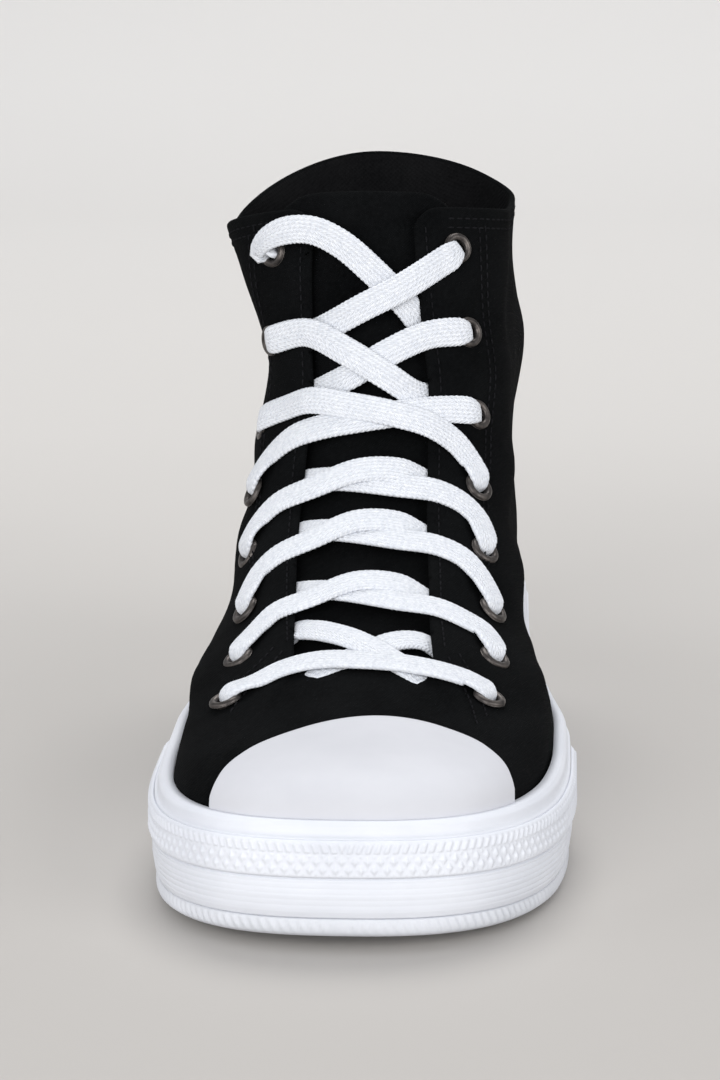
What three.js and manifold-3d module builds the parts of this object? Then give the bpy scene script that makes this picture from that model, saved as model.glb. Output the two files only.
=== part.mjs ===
// A high top canvas sneaker with a rubber sole and flat laces, standing on the floor: one left shoe.
// Millimetres, +Z up. The toe points towards -Y, the outer side of the foot towards +X.
// The last is drawn with y = 0 at the canvas toe. The finished shoe is then moved as a whole,
// so that its origin is on the floor under the middle of its bounding box.
import * as THREE from "three";
import { mergeVertices } from "three/addons/utils/BufferGeometryUtils.js";
import Module from "manifold-3d";

const wasm = await Module();
wasm.setup();

// Driving dimensions of the last and the shaft, measured on the outside of the canvas
const UPPER_LENGTH = 287;
const BALL_WIDTH = 96.5;
const WAIST_WIDTH = 77;
const HEEL_WIDTH = 72.5;
const SHAFT_WIDTH = 74;
const INSTEP_HEIGHT = 81;
const COLLAR_HEIGHT = 161;
const CANVAS = 1.8; // two plies of canvas

// Driving dimensions of the sole
const OUTSOLE_THICKNESS = 4.5;
const FOXING_THICKNESS = 5.6; // at the ball, where the side strip is fullest
const FOXING_HEIGHT_TOE = 29; // floor to the strip's top edge, without the toe spring
const FOXING_HEIGHT_HEEL = 34.5;
const FOXING_RISE_END = 0.7; // the share of UPPER_LENGTH where the strip has its heel height
const PLATFORM_HEIGHT = 10.7; // floor to the top of the rubber under the insole
const INSOLE_THICKNESS = 3.2;
const TOE_SPRING = 4.5;
const SPRING_LENGTH = 73; // the sole leaves the floor this far behind the canvas toe
const ARCH_RISE = 1.2;
const ARCH_FROM = 0.36; // the arch lies between these shares of UPPER_LENGTH
const ARCH_TO = 0.7;
const ARCH_EASE = 0.12;
const HEEL_BEVEL = 1.6;
const HEEL_BEVEL_LENGTH = 16;
const GROOVE_WIDTH = 2.6;
const GROOVE_DEPTH = 1.2;
const GROOVE_PITCH = 12;
const GROOVE_MARGIN = 9; // from the outline to the ends of the grooves

// Driving dimensions of the rubber toe
const BUMPER_THICKNESS = 1.1;
const BUMPER_REACH = 92; // how far back the ribbed strip runs from the canvas toe
const RIB_PITCH = 10;
const RIB_DEPTH = 0.6;
const CAP_THICKNESS = 1.5;
const CAP_LENGTH = 41; // from the canvas toe to the cap's rear edge
const CAP_HALF_WIDTH = 39;
const CAP_CENTRE = 5.5; // the cap's middle lies this far towards the outer side
const CAP_SWEEP = 37; // the cap's rear edge runs this much forward at its ends
const CAP_SLANT = 0.16; // the outer end lies further back than the inner end

// Driving dimensions of the lacing
const THROAT_WIDTH = 38.5;
const THROAT_TOP_WIDTH = 30; // between the eyestays at the collar
const THROAT_SHIFT = -2.5; // the throat's middle lies this far towards the inner side
const THROAT_START = 71; // from the canvas toe to the throat's lower end
const THROAT_CORNER = 8;
const THROAT_DEPTH = 12.6; // how far the cut reaches under the instep's lowest point
const EYELET_PAIRS = 8;
const EYELET_INSET = 10; // from the throat's edge to the eyelets at the collar
const EYELET_FLARE = 4.5; // the lowest pair stands this much further from the throat's edge
const EYELET_AHEAD = 3.5; // the lowest pair lies this far ahead of the throat's lower end
const EYELET_LAST = 11; // from the top pair to the collar
const EYELET_HOLE = 2.3; // radius
const EYELET_BARREL = 2.9; // radius
const EYELET_FLANGE = 4.4; // radius
const EYELET_RISE = 0.8;
const EYELET_SLOPE = 0.3; // the flange's top edge, as a share of the way in to the barrel
const LACE_WIDTH = 8;
const LACE_THICKNESS = 1.3;
const LACE_RISE = 1.04; // how much the upper strip of a crossing stands up in its middle
const LACE_ROOM = 2.0; // between the tongue and the eyestays
const TONGUE_THICKNESS = 2.4;
const TONGUE_WIDTH = 62;
const TONGUE_START = 50; // from the canvas toe to the tongue's lower end
const TONGUE_TOP = 5; // the tongue stands this much above the collar's front
const TONGUE_CORNER = 16;

// Small fits
const GAP = 0.3; // between pieces that touch
const SEAT = 0.6; // between the canvas and what lies over its folds

// Fineness
const AROUND = 36; // points in each section, an even number
const LOW_ROWS = 7; // sections of the upper from the sole to the throat
const HIGH_ROWS = 16; // and from there to the collar
const EYELET_SIDES = 8;
const TONGUE_ROWS = 13;
const TONGUE_STRIPS = 8;
const TONGUE_TOP_ROWS = [0.45, 0.8, 1]; // shares of TONGUE_TOP
const LACE_STEPS = 12;
const CAP_ROWS = 18;
const THROAT_STATIONS = 12; // places along the throat's edges
const THROAT_CORNER_POINTS = 4;
const EYELET_PATH_POINTS = 161; // where lengths are measured along the eyelets
const HALVINGS = 26; // steps of each search by halving
const CAP_EDGE_POINTS = 19;
const PATH_POINTS = 801; // where lengths are measured along the toe

// The foot's outline at the top of the rubber. at is a share of UPPER_LENGTH from the toe, centre a
// share of BALL_WIDTH towards the outer side, and half a share of the width named in of.
const FOOT_OUTLINE = [
  { at: 0.0, centre: 0.0, half: 0.466, of: BALL_WIDTH },
  { at: 0.08, centre: 0.012, half: 0.477, of: BALL_WIDTH },
  { at: 0.17, centre: 0.027, half: 0.49, of: BALL_WIDTH },
  { at: 0.26, centre: 0.036, half: 0.5, of: BALL_WIDTH },
  { at: 0.34, centre: 0.038, half: 0.5, of: BALL_WIDTH },
  { at: 0.44, centre: 0.035, half: 0.585, of: WAIST_WIDTH },
  { at: 0.54, centre: 0.035, half: 0.535, of: WAIST_WIDTH },
  { at: 0.64, centre: 0.038, half: 0.5, of: WAIST_WIDTH },
  { at: 0.74, centre: 0.041, half: 0.513, of: HEEL_WIDTH },
  { at: 0.86, centre: 0.044, half: 0.502, of: HEEL_WIDTH },
  { at: 1.0, centre: 0.044, half: 0.494, of: HEEL_WIDTH },
];

// Sections of the last from the sole to the collar, each a tilted ring from a front to a back point.
// y, nose and tail are shares of UPPER_LENGTH, nose and tail being the lengths of the round ends.
// z is 0 on the floor, 1 at INSTEP_HEIGHT and 2 at COLLAR_HEIGHT. fore, mid and rear multiply the
// foot's outline, or half of SHAFT_WIDTH where shaft is 1. dipIn and dipOut lower the inner and the
// outer side, in shares of COLLAR_HEIGHT. lean moves the section and ridge its front end towards the
// outer side, in shares of BALL_WIDTH. blunt is the power of the nose's curve.
const SECTIONS = [
  { frontY: 0.007, frontZ: 0.136, backY: 0.991, backZ: 0.136, fore: 0.97, mid: 0.97, rear: 0.96,
    nose: 0.23, tail: 0.125, blunt: 2.6, dipIn: 0, dipOut: 0, lean: 0, ridge: 0, shaft: 0 },
  { frontY: 0.002, frontZ: 0.259, backY: 0.9965, backZ: 0.247, fore: 0.99, mid: 0.99, rear: 0.99,
    nose: 0.23, tail: 0.125, blunt: 2.6, dipIn: 0, dipOut: 0, lean: 0, ridge: 0, shaft: 0 },
  { frontY: 0.0035, frontZ: 0.37, backY: 1.0, backZ: 0.37, fore: 1.0, mid: 1.0, rear: 1.0,
    nose: 0.23, tail: 0.125, blunt: 2.6, dipIn: 0, dipOut: 0, lean: 0, ridge: 0.01, shaft: 0 },
  { frontY: 0.017, frontZ: 0.444, backY: 1.0, backZ: 0.444, fore: 0.985, mid: 1.01, rear: 1.0,
    nose: 0.244, tail: 0.125, blunt: 2.5, dipIn: 0, dipOut: 0, lean: 0, ridge: 0.021, shaft: 0 },
  { frontY: 0.052, frontZ: 0.494, backY: 0.998, backZ: 0.506, fore: 0.965, mid: 1.01, rear: 1.0,
    nose: 0.279, tail: 0.125, blunt: 2.3, dipIn: 0, dipOut: 0, lean: -0.005, ridge: 0.026, shaft: 0 },
  { frontY: 0.108, frontZ: 0.535, backY: 0.9965, backZ: 0.568, fore: 0.94, mid: 1.01, rear: 1.01,
    nose: 0.328, tail: 0.122, blunt: 2.1, dipIn: 0, dipOut: 0, lean: -0.01, ridge: 0.031, shaft: 0 },
  { frontY: 0.171, frontZ: 0.583, backY: 0.994, backZ: 0.642, fore: 0.92, mid: 0.99, rear: 1.02,
    nose: 0.362, tail: 0.122, blunt: 2.0, dipIn: 0, dipOut: 0, lean: -0.012, ridge: 0.036, shaft: 0 },
  { frontY: 0.251, frontZ: 0.657, backY: 0.9895, backZ: 0.728, fore: 0.9, mid: 0.97, rear: 1.02,
    nose: 0.348, tail: 0.118, blunt: 2.0, dipIn: 0, dipOut: 0, lean: -0.012, ridge: 0.031, shaft: 0 },
  { frontY: 0.331, frontZ: 0.747, backY: 0.984, backZ: 0.84, fore: 0.88, mid: 0.965, rear: 1.01,
    nose: 0.286, tail: 0.118, blunt: 2.0, dipIn: 0, dipOut: 0, lean: -0.01, ridge: 0.01, shaft: 0 },
  { frontY: 0.408, frontZ: 0.858, backY: 0.979, backZ: 0.963, fore: 0.84, mid: 0.975, rear: 1.0,
    nose: 0.216, tail: 0.115, blunt: 2.0, dipIn: 0, dipOut: 0, lean: -0.01, ridge: 0.003, shaft: 0 },
  { frontY: 0.477, frontZ: 1.0, backY: 0.974, backZ: 1.1, fore: 0.8, mid: 0.96, rear: 0.99,
    nose: 0.167, tail: 0.111, blunt: 2.0, dipIn: 0, dipOut: 0, lean: -0.01, ridge: -0.006, shaft: 0.3 },
  { frontY: 0.53, frontZ: 1.163, backY: 0.971, backZ: 1.25, fore: 0.8, mid: 0.93, rear: 0.99,
    nose: 0.136, tail: 0.111, blunt: 2.0, dipIn: 0, dipOut: 0, lean: -0.002, ridge: -0.01, shaft: 0.7 },
  { frontY: 0.568, frontZ: 1.338, backY: 0.97, backZ: 1.413, fore: 0.8, mid: 0.92, rear: 1.0,
    nose: 0.118, tail: 0.108, blunt: 2.0, dipIn: 0.006, dipOut: 0.006, lean: 0.004, ridge: -0.012,
    shaft: 1 },
  { frontY: 0.596, frontZ: 1.538, backY: 0.9715, backZ: 1.588, fore: 0.8, mid: 0.95, rear: 1.02,
    nose: 0.108, tail: 0.108, blunt: 2.0, dipIn: 0.025, dipOut: 0.012, lean: -0.023, ridge: 0.0,
    shaft: 1 },
  { frontY: 0.6185, frontZ: 1.75, backY: 0.9755, backZ: 1.788, fore: 0.8, mid: 1.01, rear: 1.07,
    nose: 0.105, tail: 0.108, blunt: 2.0, dipIn: 0.056, dipOut: 0.025, lean: -0.052, ridge: 0.016,
    shaft: 1 },
  { frontY: 0.6375, frontZ: 1.95, backY: 0.981, backZ: 2.0, fore: 0.8, mid: 1.04, rear: 1.13,
    nose: 0.105, tail: 0.118, blunt: 2.0, dipIn: 0.093, dipOut: 0.05, lean: -0.07, ridge: 0.031,
    shaft: 1 },
];
const FORE_AT = 0.25; // fore, mid and rear hold at these shares of UPPER_LENGTH
const MID_AT = 0.55;
const REAR_AT = 0.85;
const DIP_FORWARD = 0.4; // the sides dip this much more behind the middle than at it

// The side strip's thickness along the foot, in shares of FOXING_THICKNESS
const FOXING_ALONG = [
  { at: 0.0, out: 1.15 },
  { at: 0.3, out: 1.0 },
  { at: 0.55, out: 0.76 },
  { at: 0.86, out: 0.76 },
  { at: 1.0, out: 1.05 },
];

// The side strip's profile with its steps. up is a share of its height, out of its thickness.
const FOXING_PROFILE = [
  { up: 0.0, out: 0.78 },
  { up: 0.07, out: 0.9 },
  { up: 0.24, out: 1.0 },
  { up: 0.4, out: 1.0 },
  { up: 0.42, out: 0.93 },
  { up: 0.83, out: 0.88 },
  { up: 0.85, out: 0.76 },
  { up: 0.95, out: 0.69 },
  { up: 1.0, out: 0.52 },
];
const FOXING_BACKING = [0.0, 0.35, 0.7, 1.0]; // heights of its inside
const BUMPER_BOTTOM = 0.43; // shares of the strip's height
const BUMPER_TOP = 0.82;

// The outsole's edge. up is a share of OUTSOLE_THICKNESS, out of the side strip's thickness.
const OUTSOLE_EDGE = [
  { up: 0.0, out: 0.55 },
  { up: 0.2, out: 0.78 },
  { up: 0.55, out: 0.84 },
  { up: 1.0, out: 0.8 },
];

// Curves through tables

function ease(share) {
  const u = Math.min(1, Math.max(0, share));
  return u * u * (3 - 2 * u);
}

function mix(a, b, share) {
  return a + (b - a) * share;
}

// A smooth curve through values at rising places, without overshoot
function smooth(places, values, at) {
  const last = places.length - 1;
  const x = Math.min(places[last], Math.max(places[0], at));
  let i = 0;
  while (i < last - 1 && x >= places[i + 1]) i += 1;
  const slope = (k) => (values[k + 1] - values[k]) / (places[k + 1] - places[k]);
  const tangent = (k) => {
    if (k === 0) return slope(0);
    if (k === last) return slope(last - 1);
    const before = slope(k - 1);
    const after = slope(k);
    return before * after > 0 ? (2 * before * after) / (before + after) : 0;
  };
  const step = places[i + 1] - places[i];
  const t = (x - places[i]) / step;
  const startShare = 2 * t ** 3 - 3 * t ** 2 + 1;
  const startTurn = (t ** 3 - 2 * t ** 2 + t) * step;
  const endTurn = (t ** 3 - t ** 2) * step;
  return startShare * values[i] + startTurn * tangent(i) + (1 - startShare) * values[i + 1]
    + endTurn * tangent(i + 1);
}

function linear(rows, from, to, at) {
  let i = 0;
  while (i < rows.length - 2 && at >= rows[i + 1][from]) i += 1;
  const share = (at - rows[i][from]) / (rows[i + 1][from] - rows[i][from]);
  return mix(rows[i][to], rows[i + 1][to], Math.min(1, Math.max(0, share)));
}

const OUTLINE_AT = FOOT_OUTLINE.map((row) => row.at);
const OUTLINE_CENTRE = FOOT_OUTLINE.map((row) => row.centre * BALL_WIDTH);
const OUTLINE_HALF = FOOT_OUTLINE.map((row) => row.half * row.of);
const SECTION_AT = SECTIONS.map((row, i) => i / (SECTIONS.length - 1));
const COLUMNS = {};
for (const key of Object.keys(SECTIONS[0])) COLUMNS[key] = SECTIONS.map((row) => row[key]);

function sectionHeight(z) {
  if (z < 1) return z * INSTEP_HEIGHT;
  return mix(INSTEP_HEIGHT, COLLAR_HEIGHT, z - 1);
}

function springLift(y) {
  return TOE_SPRING * Math.max(0, 1 - Math.max(0, y + FOXING_THICKNESS) / SPRING_LENGTH) ** 2;
}

const sectionCache = new Map();
function sectionAt(v) {
  if (!sectionCache.has(v)) {
    const section = {};
    for (const key of Object.keys(COLUMNS)) section[key] = smooth(SECTION_AT, COLUMNS[key], v);
    sectionCache.set(v, section);
  }
  return sectionCache.get(v);
}

function roundEnd(share, power) {
  const u = Math.min(1, Math.max(0, share));
  return Math.max(0, 1 - (1 - u) ** power) ** (1 / power);
}

// The outside of the canvas. angle is 0 at the front, a right angle at the outer side and half a turn
// at the back. v runs from 0 at the sole to 1 at the collar.
function lastPoint(angle, v) {
  const s = sectionAt(v);
  const along = (1 - Math.cos(angle)) / 2;
  const share = mix(s.frontY, s.backY, along);
  const side = Math.sin(angle);
  const sideDip = (side > 0 ? s.dipOut : s.dipIn) * COLLAR_HEIGHT;
  const dip = sideDip * side ** 2 * (1 - DIP_FORWARD * Math.cos(angle));
  const z = mix(sectionHeight(s.frontZ), sectionHeight(s.backZ), along) - dip;
  const girth = share < MID_AT
    ? mix(s.fore, s.mid, ease((share - FORE_AT) / (MID_AT - FORE_AT)))
    : mix(s.mid, s.rear, ease((share - MID_AT) / (REAR_AT - MID_AT)));
  const foot = smooth(OUTLINE_AT, OUTLINE_HALF, share);
  const nose = (share - s.frontY) / s.nose;
  const tail = (s.backY - share) / s.tail;
  const half = mix(foot, SHAFT_WIDTH / 2, s.shaft) * girth * roundEnd(nose, s.blunt) * roundEnd(tail, 2);
  const forward = Math.max(0, 1 - Math.max(0, nose)) ** 2;
  const centre = smooth(OUTLINE_AT, OUTLINE_CENTRE, share) + (s.lean + s.ridge * forward) * BALL_WIDTH;
  const y = share * UPPER_LENGTH;
  return new THREE.Vector3(centre + Math.sign(side) * half, y, z + springLift(y));
}

const ANGLE_STEP = 0.02;
const V_STEP = 0.004;

function lastNormal(angle, v) {
  const above = Math.min(1, v + V_STEP);
  const below = Math.max(0, v - V_STEP);
  const around = lastPoint(angle + ANGLE_STEP, v).sub(lastPoint(angle - ANGLE_STEP, v));
  const up = lastPoint(angle, above).sub(lastPoint(angle, below));
  return around.cross(up).normalize();
}

// A point at a distance outside the canvas, or inside it where the distance is less than 0
function offsetPoint(angle, v, distance) {
  return lastPoint(angle, v).addScaledVector(lastNormal(angle, v), distance);
}

// Halves a range until it is small, keeping the place where goesOn turns false
function bisect(low, high, goesOn) {
  let a = low;
  let b = high;
  for (let i = 0; i < HALVINGS; i += 1) {
    const middle = (a + b) / 2;
    if (goesOn(middle)) a = middle;
    else b = middle;
  }
  return (a + b) / 2;
}

// Solids

function toManifold(positions, triangles) {
  const mesh = new wasm.Mesh({
    numProp: 3,
    vertProperties: Float32Array.from(positions),
    triVerts: Uint32Array.from(triangles),
  });
  return new wasm.Manifold(mesh);
}

function geometryToManifold(geometry) {
  let bare = geometry.clone();
  bare.deleteAttribute("normal");
  bare.deleteAttribute("uv");
  bare = mergeVertices(bare, 1e-5);
  return toManifold(bare.attributes.position.array, bare.index.array);
}

function toGeometry(manifold) {
  const mesh = manifold.getMesh();
  const geometry = new THREE.BufferGeometry();
  geometry.setAttribute("position", new THREE.BufferAttribute(Float32Array.from(mesh.vertProperties), 3));
  geometry.setIndex(new THREE.BufferAttribute(Uint32Array.from(mesh.triVerts), 1));
  geometry.computeVertexNormals();
  return geometry;
}

// A wall that runs right round: rings of equally many points, the last joined to the first
function wallSolid(rings) {
  const count = rings[0].length;
  const triangles = [];
  rings.forEach((ring, i) => {
    const next = (i + 1) % rings.length;
    for (let j = 0; j < count; j += 1) {
      const k = (j + 1) % count;
      const a = i * count + j;
      const b = i * count + k;
      const c = next * count + k;
      const d = next * count + j;
      triangles.push(a, b, c, a, c, d);
    }
  });
  return toManifold(rings.flat().flatMap((p) => [p.x, p.y, p.z]), triangles);
}

// A filled body: rings stacked upwards, closed below and above by strips from side to side
function stackSolid(rings) {
  const count = rings[0].length;
  const triangles = [];
  for (let i = 0; i < rings.length - 1; i += 1) {
    for (let j = 0; j < count; j += 1) {
      const k = (j + 1) % count;
      const a = i * count + j;
      const b = i * count + k;
      const c = (i + 1) * count + k;
      const d = (i + 1) * count + j;
      triangles.push(a, b, c, a, c, d);
    }
  }
  const top = (rings.length - 1) * count;
  for (let j = 0; j < count / 2; j += 1) {
    const left = (count - j) % count;
    const leftNext = count - j - 1;
    if (j < count / 2 - 1) {
      triangles.push(j, leftNext, j + 1);
      triangles.push(top + j, top + j + 1, top + leftNext);
    }
    if (j > 0) {
      triangles.push(j, left, leftNext);
      triangles.push(top + j, top + leftNext, top + left);
    }
  }
  return toManifold(rings.flat().flatMap((p) => [p.x, p.y, p.z]), triangles);
}

// A bar of equally many points in each section, closed at both ends by fans
function barSolid(sections) {
  const count = sections[0].length;
  const triangles = [];
  for (let i = 0; i < sections.length - 1; i += 1) {
    for (let j = 0; j < count; j += 1) {
      const k = (j + 1) % count;
      const a = i * count + j;
      const b = i * count + k;
      const c = (i + 1) * count + k;
      const d = (i + 1) * count + j;
      triangles.push(a, b, c, a, c, d);
    }
  }
  const end = (sections.length - 1) * count;
  for (let j = 1; j < count - 1; j += 1) {
    triangles.push(0, j + 1, j);
    triangles.push(end, end + j, end + j + 1);
  }
  return toManifold(sections.flat().flatMap((p) => [p.x, p.y, p.z]), triangles);
}

function ring(point) {
  return Array.from({ length: AROUND }, (unused, j) => point((2 * Math.PI * j) / AROUND));
}

function spread(count, from, to) {
  return Array.from({ length: count }, (unused, i) => mix(from, to, i / (count - 1)));
}

function prism(outline, axes, near, far) {
  const shape = new THREE.Shape(outline.map(([x, y]) => new THREE.Vector2(x, y)));
  const geometry = new THREE.ExtrudeGeometry(shape, { depth: far - near, bevelEnabled: false });
  geometry.translate(0, 0, near);
  geometry.applyMatrix4(axes);
  return geometryToManifold(geometry);
}

function rod(centre, direction, radius, length, sides) {
  const geometry = new THREE.CylinderGeometry(radius, radius, length, sides);
  const up = new THREE.Vector3(0, 1, 0);
  geometry.applyQuaternion(new THREE.Quaternion().setFromUnitVectors(up, direction));
  geometry.translate(centre.x, centre.y, centre.z);
  return geometryToManifold(geometry);
}

// The sole's heights and outlines

function foxingTop(y) {
  const share = ease(y / UPPER_LENGTH / FOXING_RISE_END);
  return mix(FOXING_HEIGHT_TOE, FOXING_HEIGHT_HEEL, share) + springLift(y);
}

function foxingBottom(y) {
  return OUTSOLE_THICKNESS + GAP + springLift(y);
}

const RUBBER_LEVEL = SECTION_AT[2]; // the section at the top of the rubber

// A point outside the foot's outline, level with the floor
function outlinePoint(angle, v, distance) {
  const point = lastPoint(angle, v);
  const normal = lastNormal(angle, v).setZ(0).normalize();
  return point.addScaledVector(normal, distance);
}

function rubberThickness(y) {
  const at = FOXING_ALONG.map((row) => row.at);
  const out = FOXING_ALONG.map((row) => row.out);
  return FOXING_THICKNESS * smooth(at, out, y / UPPER_LENGTH);
}

function rubberPoint(angle, out, extra, height) {
  const thickness = rubberThickness(lastPoint(angle, RUBBER_LEVEL).y);
  const point = outlinePoint(angle, RUBBER_LEVEL, out * thickness + extra);
  return point.setZ(height(point.y));
}

// The height under the foot at which the sole's underside lies
function underside(y) {
  const share = y / UPPER_LENGTH;
  const arch = ARCH_RISE * ease((share - ARCH_FROM) / ARCH_EASE) * ease((ARCH_TO - share) / ARCH_EASE);
  const back = Math.max(0, 1 - (UPPER_LENGTH - y) / HEEL_BEVEL_LENGTH);
  return springLift(y) + arch + HEEL_BEVEL * back ** 2;
}

function makeOutsole() {
  const rings = OUTSOLE_EDGE.map((row) => ring((angle) => rubberPoint(angle, row.out, 0, (y) => {
    const top = OUTSOLE_THICKNESS + springLift(y);
    return mix(underside(y), top, row.up);
  })));
  const platform = (height) => ring((angle) => {
    const point = lastPoint(angle, 0);
    return point.setZ(height + springLift(point.y));
  });
  rings.push(platform(OUTSOLE_THICKNESS), platform(PLATFORM_HEIGHT));
  let sole = stackSolid(rings);
  const flat = new THREE.Matrix4();
  const first = Math.ceil(GROOVE_MARGIN / GROOVE_PITCH);
  for (let i = first; i * GROOVE_PITCH < UPPER_LENGTH - GROOVE_MARGIN; i += 1) {
    const y = i * GROOVE_PITCH;
    const angle = Math.acos(1 - (2 * y) / UPPER_LENGTH);
    const left = lastPoint(-angle, RUBBER_LEVEL).x + GROOVE_MARGIN;
    const right = lastPoint(angle, RUBBER_LEVEL).x - GROOVE_MARGIN;
    const outline = [[left, y], [right, y], [right, y + GROOVE_WIDTH], [left, y + GROOVE_WIDTH]];
    const roof = Math.max(underside(y), underside(y + GROOVE_WIDTH)) + GROOVE_DEPTH;
    if (right - left > GROOVE_PITCH) sole = sole.subtract(prism(outline, flat, -GROOVE_DEPTH, roof));
  }
  return sole;
}

// Where the outside of the canvas reaches a height, low on the foot
function lowLevel(angle, height) {
  return bisect(0, SECTION_AT[5], (v) => lastPoint(angle, v).z < height);
}

function makeFoxing() {
  const outside = FOXING_PROFILE.map((row) => ring((angle) => rubberPoint(angle, row.out, 0, (y) => (
    mix(foxingBottom(y), foxingTop(y), row.up)))));
  const inside = FOXING_BACKING.map((up) => ring((angle) => {
    const y = lastPoint(angle, RUBBER_LEVEL).y;
    const height = mix(foxingBottom(y), foxingTop(y), up);
    const point = outlinePoint(angle, lowLevel(angle, height), GAP);
    return point.setZ(mix(foxingBottom(point.y), foxingTop(point.y), up));
  }));
  return wallSolid([...outside, ...inside.reverse()]);
}

function makeBumper() {
  const reach = Math.acos(1 - (2 * BUMPER_REACH) / UPPER_LENGTH);
  const fine = spread(PATH_POINTS, -reach, reach);
  const path = fine.map((angle) => rubberPoint(angle, 1, 0, () => 0));
  const lengths = [0];
  for (let i = 1; i < path.length; i += 1) lengths.push(lengths[i - 1] + path[i].distanceTo(path[i - 1]));
  const total = lengths[lengths.length - 1];
  const ribs = Math.round(total / RIB_PITCH);
  const sections = [];
  for (let i = 0; i <= ribs * 4 + 2; i += 1) {
    const target = (total * i) / (ribs * 4 + 2);
    const at = lengths.findIndex((length) => length >= target - 1e-9);
    const angle = fine[at];
    const high = i % 4 === 1 || i % 4 === 2;
    const outer = GAP + BUMPER_THICKNESS + (high ? RIB_DEPTH : 0);
    const corner = (up, extra) => {
      const out = linear(FOXING_PROFILE, "up", "out", up);
      return rubberPoint(angle, out, extra, (y) => mix(foxingBottom(y), foxingTop(y), up));
    };
    sections.push([
      corner(BUMPER_BOTTOM, GAP),
      corner(BUMPER_TOP, GAP),
      corner(BUMPER_TOP, outer),
      corner(BUMPER_BOTTOM, outer),
    ]);
  }
  return barSolid(sections);
}

function makeInsole() {
  const level = (height, inset) => ring((angle) => {
    const point = outlinePoint(angle, SECTION_AT[0], -CANVAS - inset);
    return point.setZ(height + springLift(point.y));
  });
  const bottom = PLATFORM_HEIGHT + GAP;
  const top = bottom + INSOLE_THICKNESS;
  return stackSolid([level(bottom, 2 * GAP), level(top - 2 * GAP, GAP), level(top, 4 * GAP)]);
}

// The whole last, filled, at a distance outside the canvas
function lastBody(distance, low, high, rows) {
  return stackSolid(spread(rows, low, high).map((v) => ring((angle) => offsetPoint(angle, v, distance))));
}

function makeToeCap() {
  const body = (distance) => lastBody(distance, SECTION_AT[1], SECTION_AT[9], CAP_ROWS);
  const shell = body(GAP + CAP_THICKNESS).subtract(body(GAP));
  const ahead = -UPPER_LENGTH / 4;
  const outline = [[CAP_CENTRE - CAP_HALF_WIDTH, ahead], [CAP_CENTRE + CAP_HALF_WIDTH, ahead]];
  for (const turn of spread(CAP_EDGE_POINTS, 0, Math.PI)) {
    const across = CAP_HALF_WIDTH * Math.cos(turn);
    const y = CAP_LENGTH - CAP_SWEEP * (1 - Math.sin(turn)) + CAP_SLANT * across;
    outline.push([CAP_CENTRE + across, y]);
  }
  const region = prism(outline, new THREE.Matrix4(), 0, COLLAR_HEIGHT);
  const aboveRubber = (height) => ring((angle) => rubberPoint(angle, 1, 2 * FOXING_THICKNESS, (y) => (
    height === 0 ? -TOE_SPRING : foxingTop(y) + GAP)));
  return shell.intersect(region).subtract(stackSolid([aboveRubber(0), aboveRubber(1)]));
}

// The throat and the eyelets

// The point of a section that lies at x, on the front half
function frontPoint(x, v) {
  const side = x > lastPoint(0, v).x ? 1 : -1;
  const angle = side * bisect(0, Math.PI / 2, (a) => side * (lastPoint(side * a, v).x - x) < 0);
  return { angle, v, point: lastPoint(angle, v) };
}

function ridgeLevel(y) {
  return bisect(0, 1, (v) => lastPoint(0, v).y < y);
}

const THROAT_LEVEL = ridgeLevel(THROAT_START);

// How far up the throat a level lies, 0 at its lower end and 1 at the collar
function throatShare(v) {
  return THREE.MathUtils.clamp((v - THROAT_LEVEL) / (1 - THROAT_LEVEL), 0, 1);
}

function throatMiddle(v) {
  return lastPoint(0, v).x + THROAT_SHIFT;
}

function throatHalf(v) {
  return mix(THROAT_WIDTH, THROAT_TOP_WIDTH, throatShare(v) ** 2) / 2;
}

function eyeletSpread(v) {
  return throatHalf(v) + EYELET_INSET + EYELET_FLARE * (1 - throatShare(v));
}

// The column of eyelets on one side, by its distance from the first pair
function eyeletColumn(side) {
  const place = (v) => frontPoint(throatMiddle(v) + side * eyeletSpread(v), v);
  const start = bisect(SECTION_AT[3], 1, (v) => place(v).point.y < THROAT_START - EYELET_AHEAD);
  const levels = spread(EYELET_PATH_POINTS, start, 1);
  const places = levels.map(place);
  const lengths = [0];
  for (let i = 1; i < places.length; i += 1) {
    lengths.push(lengths[i - 1] + places[i].point.distanceTo(places[i - 1].point));
  }
  const end = lengths[lengths.length - 1] - EYELET_LAST;
  return spread(EYELET_PAIRS, 0, end).map((distance) => {
    const i = Math.max(1, lengths.findIndex((length) => length >= distance));
    const share = (distance - lengths[i - 1]) / (lengths[i] - lengths[i - 1]);
    const spot = place(mix(levels[i - 1], levels[i], share));
    return { ...spot, side, normal: lastNormal(spot.angle, spot.v) };
  });
}

const EYELETS = { medial: eyeletColumn(-1), lateral: eyeletColumn(1) };

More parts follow.
